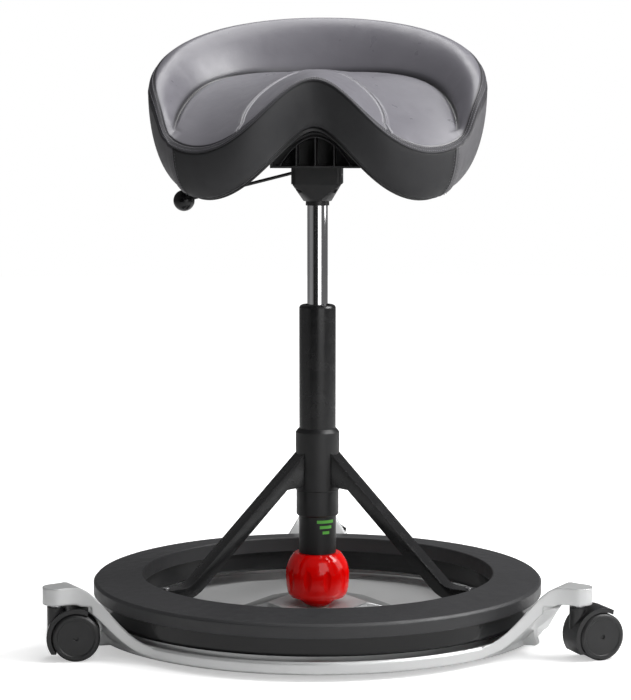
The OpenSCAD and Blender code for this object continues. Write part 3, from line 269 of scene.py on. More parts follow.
# %% [markdown]
# Cast aluminium is painted silver: a little uneven, with a satin sheen. Moulded plastic has a fine
# spark-eroded grain. Chrome is almost a mirror, with faint streaks along the tube. The raised plates
# of the base are the same cast metal, and a darker copy of its silver paints the shade seen on them.

# %% Metal finishes
silver, s = new_finish("cast_silver", (0.60, 0.605, 0.605), metallic=0.5, rough=0.28)
tint(silver, s, object_noise(silver, 9), (0.58, 0.585, 0.585), (0.63, 0.635, 0.635))
vary_roughness(silver, s, object_noise(silver, 40), 0.29, 0.37)
grain(silver, s, object_noise(silver, 700, 2), 0.12, 0.0004, edge=0.0035)

# A darker copy of the cast silver: painted shade for the tops of the raised plates
plate_shade_silver, s = new_finish("plate_shade_silver", (0.24, 0.245, 0.245), metallic=0.35, rough=0.36)
tint(plate_shade_silver, s, object_noise(plate_shade_silver, 12), (0.22, 0.225, 0.225), (0.26, 0.265, 0.265))
grain(plate_shade_silver, s, object_noise(plate_shade_silver, 700, 2), 0.12, 0.0004)

chrome, s = new_finish("chrome_plate", (0.80, 0.80, 0.81), metallic=1.0, rough=0.06)
vary_roughness(chrome, s, object_noise(chrome, 90, 4, (1, 1, 0.03)), 0.04, 0.10)

steel, s = new_finish("bright_steel", (0.58, 0.58, 0.59), metallic=1.0, rough=0.3)
vary_roughness(steel, s, object_noise(steel, 300, 4, (1, 1, 0.1)), 0.24, 0.4)
grain(steel, s, object_noise(steel, 900, 3, (1, 1, 0.1)), 0.1, 0.0002, edge=0.0006)

brass, s = new_finish("turned_brass", (0.72, 0.50, 0.20), metallic=1.0, rough=0.32)
vary_roughness(brass, s, object_noise(brass, 400, 3), 0.26, 0.42)

black_steel, s = new_finish("black_powder_coat", (0.009, 0.009, 0.0095), rough=0.24)
vary_roughness(black_steel, s, object_noise(black_steel, 60), 0.2, 0.3)
grain(black_steel, s, object_noise(black_steel, 1100, 2), 0.12, 0.0002, edge=0.0012)
print("metal finishes made")

# %% Plastic and rubber finishes
CLOUDS_PER_M, CLOUD_GAIN, CLOUD_LIFT = 14, 1.35, 0.002
WEAR_PER_M, WEAR_DOWN, WEAR_UP = 70, 0.05, 0.06
FLECK_STRENGTH, FLECK_DEPTH = 0.18, 0.00025


def moulded(name, colour, rough, fleck, edge=0.0009, specular=0.5):
    mat, shader = new_finish(name, colour, rough=rough, specular=specular)
    light = tuple(min(c * CLOUD_GAIN + CLOUD_LIFT, 1) for c in colour)
    tint(mat, shader, object_noise(mat, CLOUDS_PER_M), colour, light)
    vary_roughness(mat, shader, object_noise(mat, WEAR_PER_M), rough - WEAR_DOWN, rough + WEAR_UP)
    grain(mat, shader, object_noise(mat, fleck, 2), FLECK_STRENGTH, FLECK_DEPTH, edge=edge)
    return mat


black_plastic = moulded("black_moulding", (0.006, 0.006, 0.0065), 0.4, 1400)
castor_plastic = moulded("castor_moulding", (0.005, 0.005, 0.0055), 0.32, 1200)
pale_plastic = moulded("bearing_plastic", (0.56, 0.55, 0.50), 0.45, 900)
gloss_black = moulded("gloss_black", (0.004, 0.004, 0.0045), 0.16, 300, edge=0.002, specular=0.35)
castor_rubber = moulded("castor_tread", (0.009, 0.009, 0.0095), 0.45, 1800, edge=0.0018)
ring_rubber = moulded("foot_ring_rubber", (0.020, 0.020, 0.0215), 0.46, 2200, edge=0.0025)
green_print = moulded("green_marks", (0.10, 0.42, 0.05), 0.5, 900, edge=0)

red_gloss, s = new_finish("red_lacquer", (0.86, 0.002, 0.001), rough=0.1, specular=0.4)
tint(red_gloss, s, object_noise(red_gloss, 22), (0.82, 0.001, 0.001), (0.90, 0.002, 0.001))
grain(red_gloss, s, object_noise(red_gloss, 60, 2), 0.03, 0.0003, edge=0.002)
print("plastic finishes made")

# %% [markdown]
# The seat is smooth leather in a grey with a breath of violet, cut tight over foam. Its grain is a
# net of small cells, made by a Voronoi texture, over slow creases made by noise. The side band and
# the edge binding are the same leather in near black. Shade is painted into the folds: each point of
# the skin carries a share of painted shade, and the colour goes down to a part of itself with it.

# %% Leather finishes
# Darkest painted shade in the folds, as a share of the leather's dark colour
PAINTED_SHADE_LEVEL = 0.12
HIDE_PER_M, POLISH_PER_M, POLISH_DOWN, POLISH_UP = 16, 45, 0.06, 0.07
CELLS_PER_M, PORE_STRENGTH, PORE_DEPTH = 600, 0.12, 0.0003
CREASES_PER_M, CREASE_STRENGTH, CREASE_DEPTH = 55, 0.2, 0.0012


def leather(name, dark, light, rough, specular=0.5):
    mat, shader = new_finish(name, light, rough=rough, specular=specular)
    tree = mat.node_tree
    hide = tint(mat, shader, object_noise(mat, HIDE_PER_M, 5), dark, light)
    # Painted shade: the skin's shade share mixes the colour down to a near-black copy of itself
    painted_shade = add_node(tree, "Attribute")
    painted_shade.attribute_name = "painted_shade"
    shade = tree.nodes.new("ShaderNodeMix")
    shade.data_type = "RGBA"
    set_inputs(shade, B=(*[PAINTED_SHADE_LEVEL * c for c in dark], 1))
    polish = object_noise(mat, POLISH_PER_M, 4)
    vary_roughness(mat, shader, polish, rough - POLISH_DOWN, rough + POLISH_UP)
    coords = add_node(tree, "TexCoord")
    cells = add_node(tree, "TexVoronoi", Scale=CELLS_PER_M)
    cells.feature = "DISTANCE_TO_EDGE"
    pores = add_node(tree, "Bump", Strength=PORE_STRENGTH, Distance=PORE_DEPTH)
    creases = add_node(tree, "Bump", Strength=CREASE_STRENGTH, Distance=CREASE_DEPTH)
    join(tree,
         (painted_shade.outputs["Fac"], shade.inputs["Factor"]),
         (hide, shade.inputs["A"]),
         (shade.outputs["Result"], shader.inputs["Base Color"]),
         (coords.outputs["Object"], cells.inputs["Vector"]),
         (cells.outputs["Distance"], pores.inputs["Height"]),
         (object_noise(mat, CREASES_PER_M, 4), creases.inputs["Height"]),
         (pores.outputs["Normal"], creases.inputs["Normal"]),
         (creases.outputs["Normal"], shader.inputs["Normal"]))
    return mat


grey_leather = leather("grey_leather", (0.122, 0.118, 0.134), (0.146, 0.142, 0.160), 0.33)
dark_leather = leather("dark_leather", (0.026, 0.026, 0.028), (0.034, 0.034, 0.036), 0.6,
                       specular=0.35)
binding_leather = leather("binding_leather", (0.030, 0.029, 0.033), (0.042, 0.041, 0.046), 0.58,
                          specular=0.3)
thread, s = new_finish("sewing_thread", (0.17, 0.165, 0.185), rough=0.6)
tint(thread, s, object_noise(thread, 2500), (0.11, 0.105, 0.12), (0.23, 0.225, 0.25))
dark_thread, s = new_finish("dark_thread", (0.09, 0.09, 0.1), rough=0.6)
tint(dark_thread, s, object_noise(dark_thread, 2500), (0.05, 0.05, 0.055), (0.15, 0.15, 0.16))
print("leather finishes made")

# %% [markdown]
# ## Finishes on the frame's own pieces
# Most hard pieces already have their true shape, so each only swaps its plain material for one of
# the finishes above.

# %% Give the frame its finishes
FINISH = {
    "base_casting": silver, "ball_pad": pale_plastic, "castor_bushes": pale_plastic,
    "guide_bush": pale_plastic, "cylinder_guide": pale_plastic, "spindle_washer": steel,
    "ball_spindle": steel, "thrust_bearing": steel, "piston_rod": steel, "release_pin": steel,
    "rod_clip": steel, "lever_pin": steel, "bracket_bolts": steel, "housing_screws": steel,
    "ring_screws": steel, "spindle_nut": brass, "gas_cylinder": chrome, "guide_tube": black_plastic,
    "level_marks": green_print, "collar": black_plastic, "column_sleeve": black_steel,
    "mechanism_housing": black_plastic, "seat_bracket": black_plastic, "seat_shell": black_plastic,
    "lever_rod": black_steel, "lever_knob": gloss_black, "red_ball": red_gloss,
    "foot_ring_tread": ring_rubber, "foot_ring_lower": gloss_black, "seat_tab": binding_leather,
}
SIDES = ("left", "right", "back")
for side in SIDES:
    FINISH["leg_" + side] = black_steel
    FINISH["castor_stem_" + side] = steel
    FINISH["castor_axle_" + side] = castor_plastic
    FINISH["castor_hood_" + side] = castor_plastic
    FINISH["castor_wheel_" + side + "_front"] = castor_rubber
    FINISH["castor_wheel_" + side + "_rear"] = castor_rubber
for name, mat in FINISH.items():
    node = nodes[name]
    node.data.materials.clear()
    node.data.materials.append(mat)
print(len(FINISH), "pieces finished")

# %% [markdown]
# ## Legs
# The three legs are drawn bars, so their edges are round and catch a line of light. The frame has
# them cut, so a merged copy of each takes a real bevel, which turns with the light in a way that
# shading alone would not.

# %% Copy a frame piece and round the legs
MERGE_GAP, FLAT_JOIN = 0.000005, 0.5
LEG_ROUND, LEG_SHARP = 0.005, 35


def alone(obj):
    bpy.ops.object.select_all(action="DESELECT")
    obj.select_set(True)
    bpy.context.view_layer.objects.active = obj


def merged_copy(node, name, body):
    source = nodes[node]
    piece = bpy.data.objects.new(name, source.data.copy())
    bpy.context.scene.collection.objects.link(piece)
    alone(piece)
    bpy.ops.object.mode_set(mode="EDIT")
    bpy.ops.mesh.select_all(action="SELECT")
    bpy.ops.mesh.customdata_custom_splitnormals_clear()
    bpy.ops.mesh.remove_doubles(threshold=MERGE_GAP)
    bpy.ops.mesh.dissolve_limited(angle_limit=math.radians(FLAT_JOIN))
    bpy.ops.object.mode_set(mode="OBJECT")
    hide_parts(node)
    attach(piece, body)
    return piece


def round_edges(piece):
    alone(piece)
    bevel = piece.modifiers.new("rounded", "BEVEL")
    bevel.limit_method = "ANGLE"
    bevel.angle_limit = math.radians(LEG_SHARP)
    bevel.width = LEG_ROUND
    bevel.segments = 4
    bevel.use_clamp_overlap = True
    bpy.ops.object.modifier_apply(modifier="rounded")
    bpy.ops.object.shade_smooth_by_angle(angle=math.radians(LEG_SHARP))
    print(piece.name, len(piece.data.polygons), "faces")


for side in SIDES:
    bar = merged_copy("leg_" + side, "leg_bar_" + side, "frame")
    round_edges(bar)

# %% [markdown]
# ## Base
# The base is a casting whose curved faces the frame holds as flat strips. A merged copy of it is
# shaded smooth over the shallow joins between them, which keeps every true edge. The upward faces
# that lie wholly on one of its three raised plates take the darker silver, as painted shade.

# %% The casting and its raised plates
CAST_SHARP, FACES_UP = 30, 0.3
PLATE_TURNS = (30, 150, 270)
PLATE_IN, PLATE_OUT, PLATE_IN_HALF, PLATE_OUT_HALF = 0.050, 0.1195, 0.045, 0.0765
casting = merged_copy("base_casting", "base_skin", "base")
alone(casting)
bpy.ops.object.shade_smooth_by_angle(angle=math.radians(CAST_SHARP))
casting.data.materials.append(plate_shade_silver)


def on_plate(point, turn):
    c, s = math.cos(math.radians(turn)), math.sin(math.radians(turn))
    along, across = c * point.x + s * point.y, c * point.y - s * point.x
    share = (along - PLATE_IN) / (PLATE_OUT - PLATE_IN)
    return 0 < share < 1 and abs(across) < PLATE_IN_HALF + share * (PLATE_OUT_HALF - PLATE_IN_HALF)


# Upward faces on the raised plates take the darker silver as painted shade
for face in casting.data.polygons:
    corners = [casting.data.vertices[k].co for k in face.vertices]
    inside = any(all(on_plate(point, turn) for point in corners) for turn in PLATE_TURNS)
    face.material_index = int(face.normal.z > FACES_UP and inside)
print("base_skin", len(casting.data.polygons), "faces,",
      sum(face.material_index for face in casting.data.polygons), "on the raised plates")

# %% [markdown]
# ## The seat's surfaces
# The saddle has no plain curve to trace, so its surfaces are written as functions of an angle round
# the crown and a share of the way out to the edge. The same sizes, in millimetres, drive the solids
# in the frame, so the upholstery lies exactly where they are.

# %% Sizes of the seat
HALF_W, SEAT_BACK, SEAT_FRONT, MID_Z = 229.0, 182.0, 170.0, 765.0
BACK_RISE, THIGH_DROP, POMMEL_FALL, SEAT_T, LOBE_T = 76.0, 102.0, 24.0, 67.0, 20.0
OUTLINE, NOTCH_DEEP, NOTCH_HALF, CROWN_C = 0.967, 50.0, 60.0, 32.0
THIGH_HALF, CORNER_RISE, CORNER_FROM, CORNER_SPAN = 214.0, 37.0, 187.0, 109.0
RIDGE_W, UNDER_RIDGE_W, RIM_CORNER, RIM_CORNER_SPAN = 36.0, 20.0, 0.75, 0.06
RIDGE_PEAK_Y, BOWL_Y, DROP_POWER, FRONT_ANGLE = 45.0, 105.0, 1.15, -32.0
BOWL_IN, BOWL_POWER, BOWL_SINK, RIM, RIM_POWER = 0.61, 0.56, 2.0, 0.90, 0.68
RIM_ROLL, SIDE_ROLL, SHOULDER, SHOULDER_FROM = 22.5, 0.92, 2.5, 0.88
RIM_SOON, SETTLE_SOON, ROLL_SOON, CREASE_SOON = 3, 6, 4, 8
BAND_IN_SIDE, BAND_IN_FRONT, SEAM_DIP, SEAM_DIP_W = 37.0, 22.0, 3.0, 0.09
POMMEL_HALF, POMMEL_BOW, SEAT_TURN = 26.0, 9.0, -2.4
SHELL_T, BINDING_W, TINY = 7.0, 8.0, 1e-6


# %% Plan and sitting surface
def ease(x):
    c = np.clip(x, 0, 1)
    return c * c * (3 - 2 * c)


def signed_power(x, p):
    return np.sign(x) * np.abs(x) ** p


def outline(a):
    r = np.radians(a)
    x = HALF_W * signed_power(np.cos(r), OUTLINE)
    s = np.sin(r)
    y = np.where(s > 0, SEAT_BACK, SEAT_FRONT) * signed_power(s, OUTLINE)
    return x, y + np.where(s < 0, NOTCH_DEEP * np.exp(-(x / NOTCH_HALF) ** 2), 0)


def plan_at(a, share):
    x, y = outline(a)
    return x * share, CROWN_C + (y - CROWN_C) * share


def thigh(x, w=RIDGE_W):
    u = (np.sqrt(x * x + w * w) - w) / (math.hypot(THIGH_HALF, w) - w)
    return np.sin(np.pi / 2 * np.minimum(u, 1))


def pan(x, y, w=RIDGE_W):
    fall = np.maximum((RIDGE_PEAK_Y - y) / (RIDGE_PEAK_Y + SEAT_FRONT), 0) ** 2
    sink = BOWL_SINK * ease((y - RIDGE_PEAK_Y) / (BOWL_Y - RIDGE_PEAK_Y))
    ridge = MID_Z - POMMEL_FALL * fall - sink
    drop = np.maximum((BOWL_Y - y) / (BOWL_Y + SEAT_FRONT - NOTCH_DEEP), 0) ** DROP_POWER
    ahead = ease((CROWN_C - y) / (CROWN_C + SEAT_FRONT))
    corner = ease((np.abs(x) - CORNER_FROM) / CORNER_SPAN) * ahead
    return ridge - THIGH_DROP * drop * thigh(x, w) + CORNER_RISE * corner


# %% Raised back and side band
def mirrored(a):
    b = np.mod(a, 360)
    return np.where(b > 270, b - 360, np.where(b > 90, 180 - b, b))


def back_share(a):
    return np.clip((mirrored(a) - FRONT_ANGLE) / (90 - FRONT_ANGLE), 0, 1)


def crease_at(a):
    return 1 - (1 - BOWL_IN) * np.sin(np.pi / 2 * back_share(a)) ** BOWL_POWER


def rim_height(a):
    corner = pan(*outline(np.array(FRONT_ANGLE)))
    back = back_share(a)
    soft = 1 - RIM_CORNER * np.exp(-(back / RIM_CORNER_SPAN) ** 2)
    return corner + (MID_Z + BACK_RISE - corner) * soft * np.sin(np.pi / 2 * back) ** RIM_POWER


def seat_height(a, share):
    back, crease = back_share(a), crease_at(a)
    rim = 1 + (RIM - 1) * np.minimum(back * RIM_SOON, 1)
    settle = np.minimum(back * SETTLE_SOON, 1)
    beyond = np.maximum((share - SHOULDER_FROM) / (1 - SHOULDER_FROM), 0)
    edge = np.where(back > 0, 0, SHOULDER * beyond ** 2)
    dip = SEAM_DIP * np.maximum(1 - (crease - share) / SEAM_DIP_W, 0) ** 2 * settle
    flat = pan(*plan_at(a, share)) - edge - np.where((back > 0) & (share <= crease), dip, 0)
    low = pan(*plan_at(a, np.minimum(share, crease))) - SEAM_DIP * settle
    climb = np.clip((share - crease) / np.maximum(rim - crease, TINY), 0, 1)
    wall = low + (rim_height(a) - low) * np.sin(np.pi / 2 * climb)
    turn = np.clip((share - rim) / np.maximum(1 - rim, TINY), 0, 1)
    side = np.maximum(np.sin(np.radians(mirrored(a))), 0) ** 2
    roll = RIM_ROLL * (SIDE_ROLL + (1 - SIDE_ROLL) * side) * np.minimum(back * ROLL_SOON, 1)
    over = rim_height(a) - roll * (1 - np.sqrt(np.maximum(1 - turn ** 2, 0)))
    return np.where((share <= crease) | (back == 0), flat, np.where(share <= rim, wall, over))


def reach(a):
    x, y = outline(a)
    return np.hypot(x, y - CROWN_C)


def under_height(x, y):
    return pan(x, y, UNDER_RIDGE_W) - SEAT_T - LOBE_T * thigh(x, UNDER_RIDGE_W)


def low_share(a):
    inset = np.where(back_share(a) > 0, 1, np.abs(np.cos(np.radians(a))) ** 2)
    return 1 - (BAND_IN_FRONT + (BAND_IN_SIDE - BAND_IN_FRONT) * inset) / reach(a)


def top_place(a, share):
    x, y = plan_at(a, share)
    return np.stack([x, y, seat_height(a, share)], -1)


def band_place(a, share):
    ex, ey = outline(a)
    lx, ly = plan_at(a, low_share(a))
    t = 1 - np.cos(np.pi / 2 * share)
    top = seat_height(a, np.ones_like(a))
    z = top + (under_height(lx, ly) - top) * np.sin(np.pi / 2 * share)
    return np.stack([ex + (lx - ex) * t, ey + (ly - ey) * t, z], -1)


def under_place(a, share, deep=0.0):
    x, y = plan_at(a, share * low_share(a))
    return np.stack([x, y, under_height(x, y) - deep], -1)


print("rim of the seat at", round(float(rim_height(np.array(90.0))), 1), "mm")

# %% [markdown]
# ## Laying a skin
# A grid primitive is added and its rows and columns are carried to the surface. Columns run round
# the seat, closer together at each sewn seam, and rows run from the crown over the edge and under
# the seat. The seams are then pressed in with narrow grooves, which need that fine spacing.

# %% Skin helper
MM_PER_M, WELD_GAP = 1000, 0.00002


def read_points(mesh):
    flat = np.empty(len(mesh.vertices) * 3)
    mesh.vertices.foreach_get("co", flat)
    return flat.reshape(-1, 3)


def lay_grid(name, places):
    columns_n, rows_n = places.shape[:2]
    bpy.ops.object.select_all(action="DESELECT")
    bpy.ops.mesh.primitive_grid_add(x_subdivisions=columns_n - 1, y_subdivisions=rows_n - 1, size=1)
    obj = bpy.context.object
    obj.name = name
    flat = read_points(obj.data)
    i = np.rint((flat[:, 0] + 0.5) * (columns_n - 1)).astype(int)
    j = np.rint((flat[:, 1] + 0.5) * (rows_n - 1)).astype(int)
    obj.data.vertices.foreach_set("co", places[i, j].ravel() / MM_PER_M)
    obj.data.update()
    bpy.ops.object.shade_smooth()
    return obj, i, j


def weld(obj, gap=WELD_GAP):
    alone(obj)
    bpy.ops.object.mode_set(mode="EDIT")
    bpy.ops.mesh.select_all(action="SELECT")
    bpy.ops.mesh.remove_doubles(threshold=gap)
    bpy.ops.mesh.dissolve_degenerate(threshold=gap / 2)
    bpy.ops.mesh.normals_make_consistent(inside=False)
    bpy.ops.object.mode_set(mode="OBJECT")
    print(obj.name, len(obj.data.vertices), "points")


def turned(places):
    t = math.radians(SEAT_TURN)
    c, s = math.cos(t), math.sin(t)
    x, y, z = places[..., 0], places[..., 1], places[..., 2]
    return np.stack([x * c - y * s, x * s + y * c, z], -1)


def columns_round(start, end):
    edges = [start]
    while edges[-1] < end - TINY:
        here = edges[-1]
        close = any(abs(here - mark) < SEAM_ZONE for mark in SEAM_ANGLES)
        edges.append(min(here + (FINE_STEP if close else COARSE_STEP), end))
    return np.array(edges)


# %% Columns and rows of the seat's skin
BAND_SEAM = -36.0
SEAM_ZONE, FINE_STEP, COARSE_STEP = 2.6, 0.2, 1.2
PANEL_SEAMS = [-90 - POMMEL_HALF + 360, -90 + POMMEL_HALF]
SIDE_SEAMS = [BAND_SEAM, 180 - BAND_SEAM]
SEAM_ANGLES = PANEL_SEAMS + SIDE_SEAMS
columns = columns_round(-90.0, 270.0)
pan_rows = np.concatenate([np.linspace(0, 0.9, 30), np.linspace(0.915, 1, 9)[:-1]])
bowl_rows = np.concatenate([[0, 0.02, 0.045, 0.08], np.linspace(0.12, 1, 27)])[:-1]
binding_rows = np.linspace(0, 1, 9)
band_rows = np.concatenate([[0.02, 0.05, 0.08], np.linspace(0.12, 0.9, 22), np.linspace(0.92, 1, 6)])
under_rows = np.linspace(0.95, 0, 12)
print(len(columns), "columns")


# %% [markdown]
# The pommel panel's two seams bow outwards. To keep a column exactly on each, the angle of every
# column is bent with its share of the way out, most at the seam and least at the back.

# %% Bend the columns along the pommel seams
PAN_SHORT = 0.06


def bent(a, share):
    m = mirrored(a) + 90
    amount = np.where(m < POMMEL_HALF, m / POMMEL_HALF,
                      np.maximum(1 - (m - POMMEL_HALF) / (90 + POMMEL_HALF), 0))
    side = np.where(np.cos(np.radians(a)) < 0, -1, 1)
    return a + side * POMMEL_BOW * np.sin(np.pi * np.clip(share, 0, 1)) * amount


def binding_at(a):
    return 1 - BINDING_W / reach(a)


def pan_edge(a):
    return np.minimum(crease_at(a), binding_at(a) - PAN_SHORT)


def skin_places(columns):
    a = columns[:, None]
    binding, crease = binding_at(a), pan_edge(a)
    rows = []
    for s in pan_rows:
        b = bent(a, np.full_like(a, s))
        rows.append(top_place(b, s * pan_edge(b)))
    for s in bowl_rows:
        rows.append(top_place(a, crease + (binding - crease) * s))
    for s in binding_rows:
        rows.append(top_place(a, binding + (1 - binding) * s))
    for s in band_rows:
        rows.append(band_place(a, np.full_like(a, s)))
    for s in under_rows:
        rows.append(under_place(a, np.full_like(a, s)))
    return np.concatenate(rows, 1)


CREASE_ROW = len(pan_rows)
BINDING_ROW = CREASE_ROW + len(bowl_rows)
EDGE_ROW = BINDING_ROW + len(binding_rows) - 1
HEM_ROW = EDGE_ROW + len(band_rows)
skin = skin_places(columns)
print("skin grid", skin.shape)

# %% [markdown]
# ## How the leather swells
# Leather pulled over foam stands slightly proud between its seams. A coarse copy of the skin is
# given a cloth simulation with a little pressure inside and its seams pinned, and how far each point
# moved is capped and carried over to the fine skin. Simulating the fine skin itself would be slow
# and would wrinkle at the grooves.

# %% Swell the coarse skin
SWELL_CAP, PRESSURE, CLOTH_FRAMES = 3.0, 2.0, 20
COLUMN_STEP, ROW_STEP, SEWN_ZONE = 4, 2, 1.2
SEWN_ROWS = (0, CREASE_ROW, BINDING_ROW, EDGE_ROW, HEM_ROW)


def cage_lines(places):
    across = np.unique(np.append(np.arange(0, HEM_ROW, ROW_STEP), SEWN_ROWS))
    along = np.unique(np.append(np.arange(0, len(places), COLUMN_STEP), len(places) - 1))
    return along, across


def sewn_lines(along, across):
    held = np.zeros((len(along), len(across)), bool)
    for mark in PANEL_SEAMS:
        held[np.abs(columns[along] - mark) < SEWN_ZONE] = True
    for row in SEWN_ROWS:
        held[:, across == row] = True
    held[:, across > BINDING_ROW] = True
    held[[0, -1]] = True
    return held


def swelling(places):
    along, across = cage_lines(places)
    cage, i, j = lay_grid("swell_cage", places[along][:, across])
    before = read_points(cage.data)
    pins = cage.vertex_groups.new(name="sewn")
    pins.add([int(k) for k in np.nonzero(sewn_lines(along, across)[i, j])[0]], 1.0, "REPLACE")
    alone(cage)
    cloth = cage.modifiers.new("swell", "CLOTH")
    cloth.settings.quality = 5
    cloth.settings.vertex_group_mass = "sewn"
    cloth.settings.use_pressure = True
    cloth.settings.uniform_pressure_force = PRESSURE
    cloth.settings.effector_weights.gravity = 0
    for f in range(1, CLOTH_FRAMES + 1):
        bpy.context.scene.frame_set(f)
    bpy.ops.object.modifier_apply(modifier="swell")
    moved = (read_points(cage.data) - before) * MM_PER_M
    bpy.data.objects.remove(cage)
    bpy.context.scene.frame_set(1)
    size = np.linalg.norm(moved, axis=1, keepdims=True)
    print("swelling: mean", round(float(size.mean()), 2), "most", round(float(size.max()), 2), "mm")
    moved *= SWELL_CAP / (SWELL_CAP + size)
    laid = np.zeros((len(along), len(across), 3))
    laid[i, j] = moved
    spread = np.zeros_like(places)
    for k in range(3):
        rows = np.stack([np.interp(np.arange(HEM_ROW + 1), across, line) for line in laid[..., k]])
        spread[:, :HEM_ROW + 1, k] = np.stack(
            [np.interp(np.arange(len(places)), along, line) for line in rows.T], 1)
    return spread


skin = skin + swelling(skin)

# %% [markdown]
# ## Pressing in the seams
# Each seam of the pommel panel is a narrow valley. The leather swells beside it under the stitches,
# and dips again beyond them. Each depth falls off as a bell curve of the distance in millimetres.
# The crease of the bowl is a wider valley, and the binding, the edge and the hem are fine grooves.

# %% Seam grooves
STITCH_OFF, SIDE_STITCH_OFF = 2.3, 4.6
SEAM_DEEP, SEAM_WIDE, SWELL_HIGH, SWELL_WIDE, DIP_WIDE = 2.0, 1.0, 0.8, 0.9, 1.2
SIDE_SEAM_DEEP, SIDE_SEAM_HALF, SIDE_SEAM_WIDE = 1.2, 2.6, 0.8
CREASE_DEEP, CREASE_WIDE = 3.6, 3.0
HEM_CORD_ROW, CROWN_ROW = HEM_ROW - 5, 3
SIDE_GROOVE_FROM, SIDE_GROOVE_TO = EDGE_ROW + 1, HEM_ROW - 3
NO_LENGTH = 1e-9
ROW_GROOVES = ((BINDING_ROW, 1.0, 1.0), (EDGE_ROW, 1.6, 1.3), (HEM_CORD_ROW, 0.7, 0.9))


def bell(distance, width):
    return np.exp(-(distance / width) ** 2)


def unit(v):
    return v / np.maximum(np.linalg.norm(v, axis=-1, keepdims=True), NO_LENGTH)


def outward(places):
    round_the_seam = np.concatenate([places[-2:-1], places, places[1:2]])
    along = np.gradient(round_the_seam, axis=0)[1:-1]
    across = np.gradient(places, axis=1)
    return unit(np.cross(across, along))


def from_column(places, mark):
    return np.linalg.norm(places - places[int(np.argmin(np.abs(columns - mark)))][None], axis=-1)


def from_row(places, row):
    return np.linalg.norm(places - places[:, row][:, None], axis=-1)


def rows_of(places):
    row = np.arange(places.shape[1])[None, :]
    return row, (row > CROWN_ROW) & (row < BINDING_ROW), row < BINDING_ROW


def behind():
    return np.minimum(back_share(columns) * CREASE_SOON, 1)[:, None]


def seam_depth(places):
    row, on_panel, on_top = rows_of(places)
    depth = np.zeros(places.shape[:2])
    for mark in PANEL_SEAMS:
        gap = from_column(places, mark)
        pull = SEAM_DEEP * bell(gap, SEAM_WIDE) - SWELL_HIGH * bell(gap - STITCH_OFF, SWELL_WIDE)
        depth += np.where(on_panel, pull + SWELL_HIGH * bell(gap - 2 * STITCH_OFF, DIP_WIDE), 0)
    for mark in SIDE_SEAMS:
        gap = from_column(places, mark)
        pull = SIDE_SEAM_DEEP * bell(gap - SIDE_SEAM_HALF, SIDE_SEAM_WIDE)
        depth += np.where((row > SIDE_GROOVE_FROM) & (row < SIDE_GROOVE_TO), pull, 0)
    crease = CREASE_DEEP * bell(from_row(places, CREASE_ROW), CREASE_WIDE)
    depth += np.where(on_top, crease * behind(), 0)
    for line, deep, wide in ROW_GROOVES:
        depth += deep * bell(from_row(places, line), wide)
    return depth


skin_out = outward(skin)
skin = turned(skin - skin_out * seam_depth(skin)[..., None])
skin_out = turned(skin_out)
print("deepest groove", round(float(seam_depth(skin).max()), 2), "mm")

# %% [markdown]
# ## The upholstered pad
# The fine skin becomes one closed piece, because the real cover is one sewn bag over the foam. Its
# faces take their leather by where they lie: grey above, a darker strip of binding along the edge,
# near black on the front of the side band, and behind the two upright seams a lighter copy of that
# leather which paints the sheen on the band's sides. The share of painted shade in the folds is
# widest at the crease of the bowl and narrow at the seams and edges.

# %% Where shade is painted into the folds
# Widths in millimetres of the painted shade at the crease, on the bowl wall, at the seams and edges
SHADE_ON_PAN_WIDE, SHADE_ON_WALL_WIDE, SHADE_AT_SEAM_WIDE = 2.4, 9.0, 0.9
EDGE_SHADE, EDGE_SHADE_ROWS = 0.9, ((BINDING_ROW, 2.4), (EDGE_ROW + 1, 1.5))


def painted_shade_share(places):
    row, on_panel, on_top = rows_of(places)
    wide = np.where(row < CREASE_ROW, SHADE_ON_PAN_WIDE, SHADE_ON_WALL_WIDE)
    crease = np.where(on_top, bell(from_row(places, CREASE_ROW), wide) * behind(), 0)
    edges = [EDGE_SHADE * bell(from_row(places, line), width) for line, width in EDGE_SHADE_ROWS]
    seams = [np.where(on_panel, bell(from_column(places, mark), SHADE_AT_SEAM_WIDE), 0)
             for mark in PANEL_SEAMS]
    return np.maximum.reduce([crease] + edges + seams)


# %% Sew the pad
SEAM_TOUCH, FOAM_FILL = 0.05, 0.85
# A lighter copy of the band's near-black leather: painted sheen for behind the upright seams
band_sheen_leather = leather("band_sheen_leather", (0.105, 0.103, 0.110), (0.125, 0.123, 0.130), 0.42)
seat_pad, pad_i, pad_j = lay_grid("seat_pad", skin)
for mat in (grey_leather, binding_leather, dark_leather, band_sheen_leather):
    seat_pad.data.materials.append(mat)
# Each point of the skin carries its share of painted shade
painted_shade_points = seat_pad.data.attributes.new("painted_shade", "FLOAT", "POINT")
painted_shade_points.data.foreach_set("value", painted_shade_share(skin)[pad_i, pad_j])
loops = np.empty(len(seat_pad.data.polygons) * 4, int)
seat_pad.data.polygons.foreach_get("vertices", loops)
corner_j = pad_j[loops.reshape(-1, 4)].min(1)
corner_a = columns[pad_i[loops.reshape(-1, 4)].min(1)]
front_side = (corner_a < SIDE_SEAMS[0] - SEAM_TOUCH) | (corner_a > SIDE_SEAMS[1] - SEAM_TOUCH)
# Index 3, behind the upright seams, takes the lighter leather that paints the sheen there
below = np.where(corner_j < EDGE_ROW, 1, np.where(front_side, 2, 3))
seat_pad.data.polygons.foreach_set("material_index", np.where(corner_j < BINDING_ROW, 0, below))
weld(seat_pad)
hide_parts("foam_core", "side_band", "bowl_cover", "seat_cover", "pommel_cover")
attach(seat_pad, "seat")

# %% [markdown]
# ## The seat board
# A black moulded board closes the seat underneath. The frame holds it with flat facets, so a smooth
# one is laid over the same surface: a thin lens with its edge tucked inside the hem.

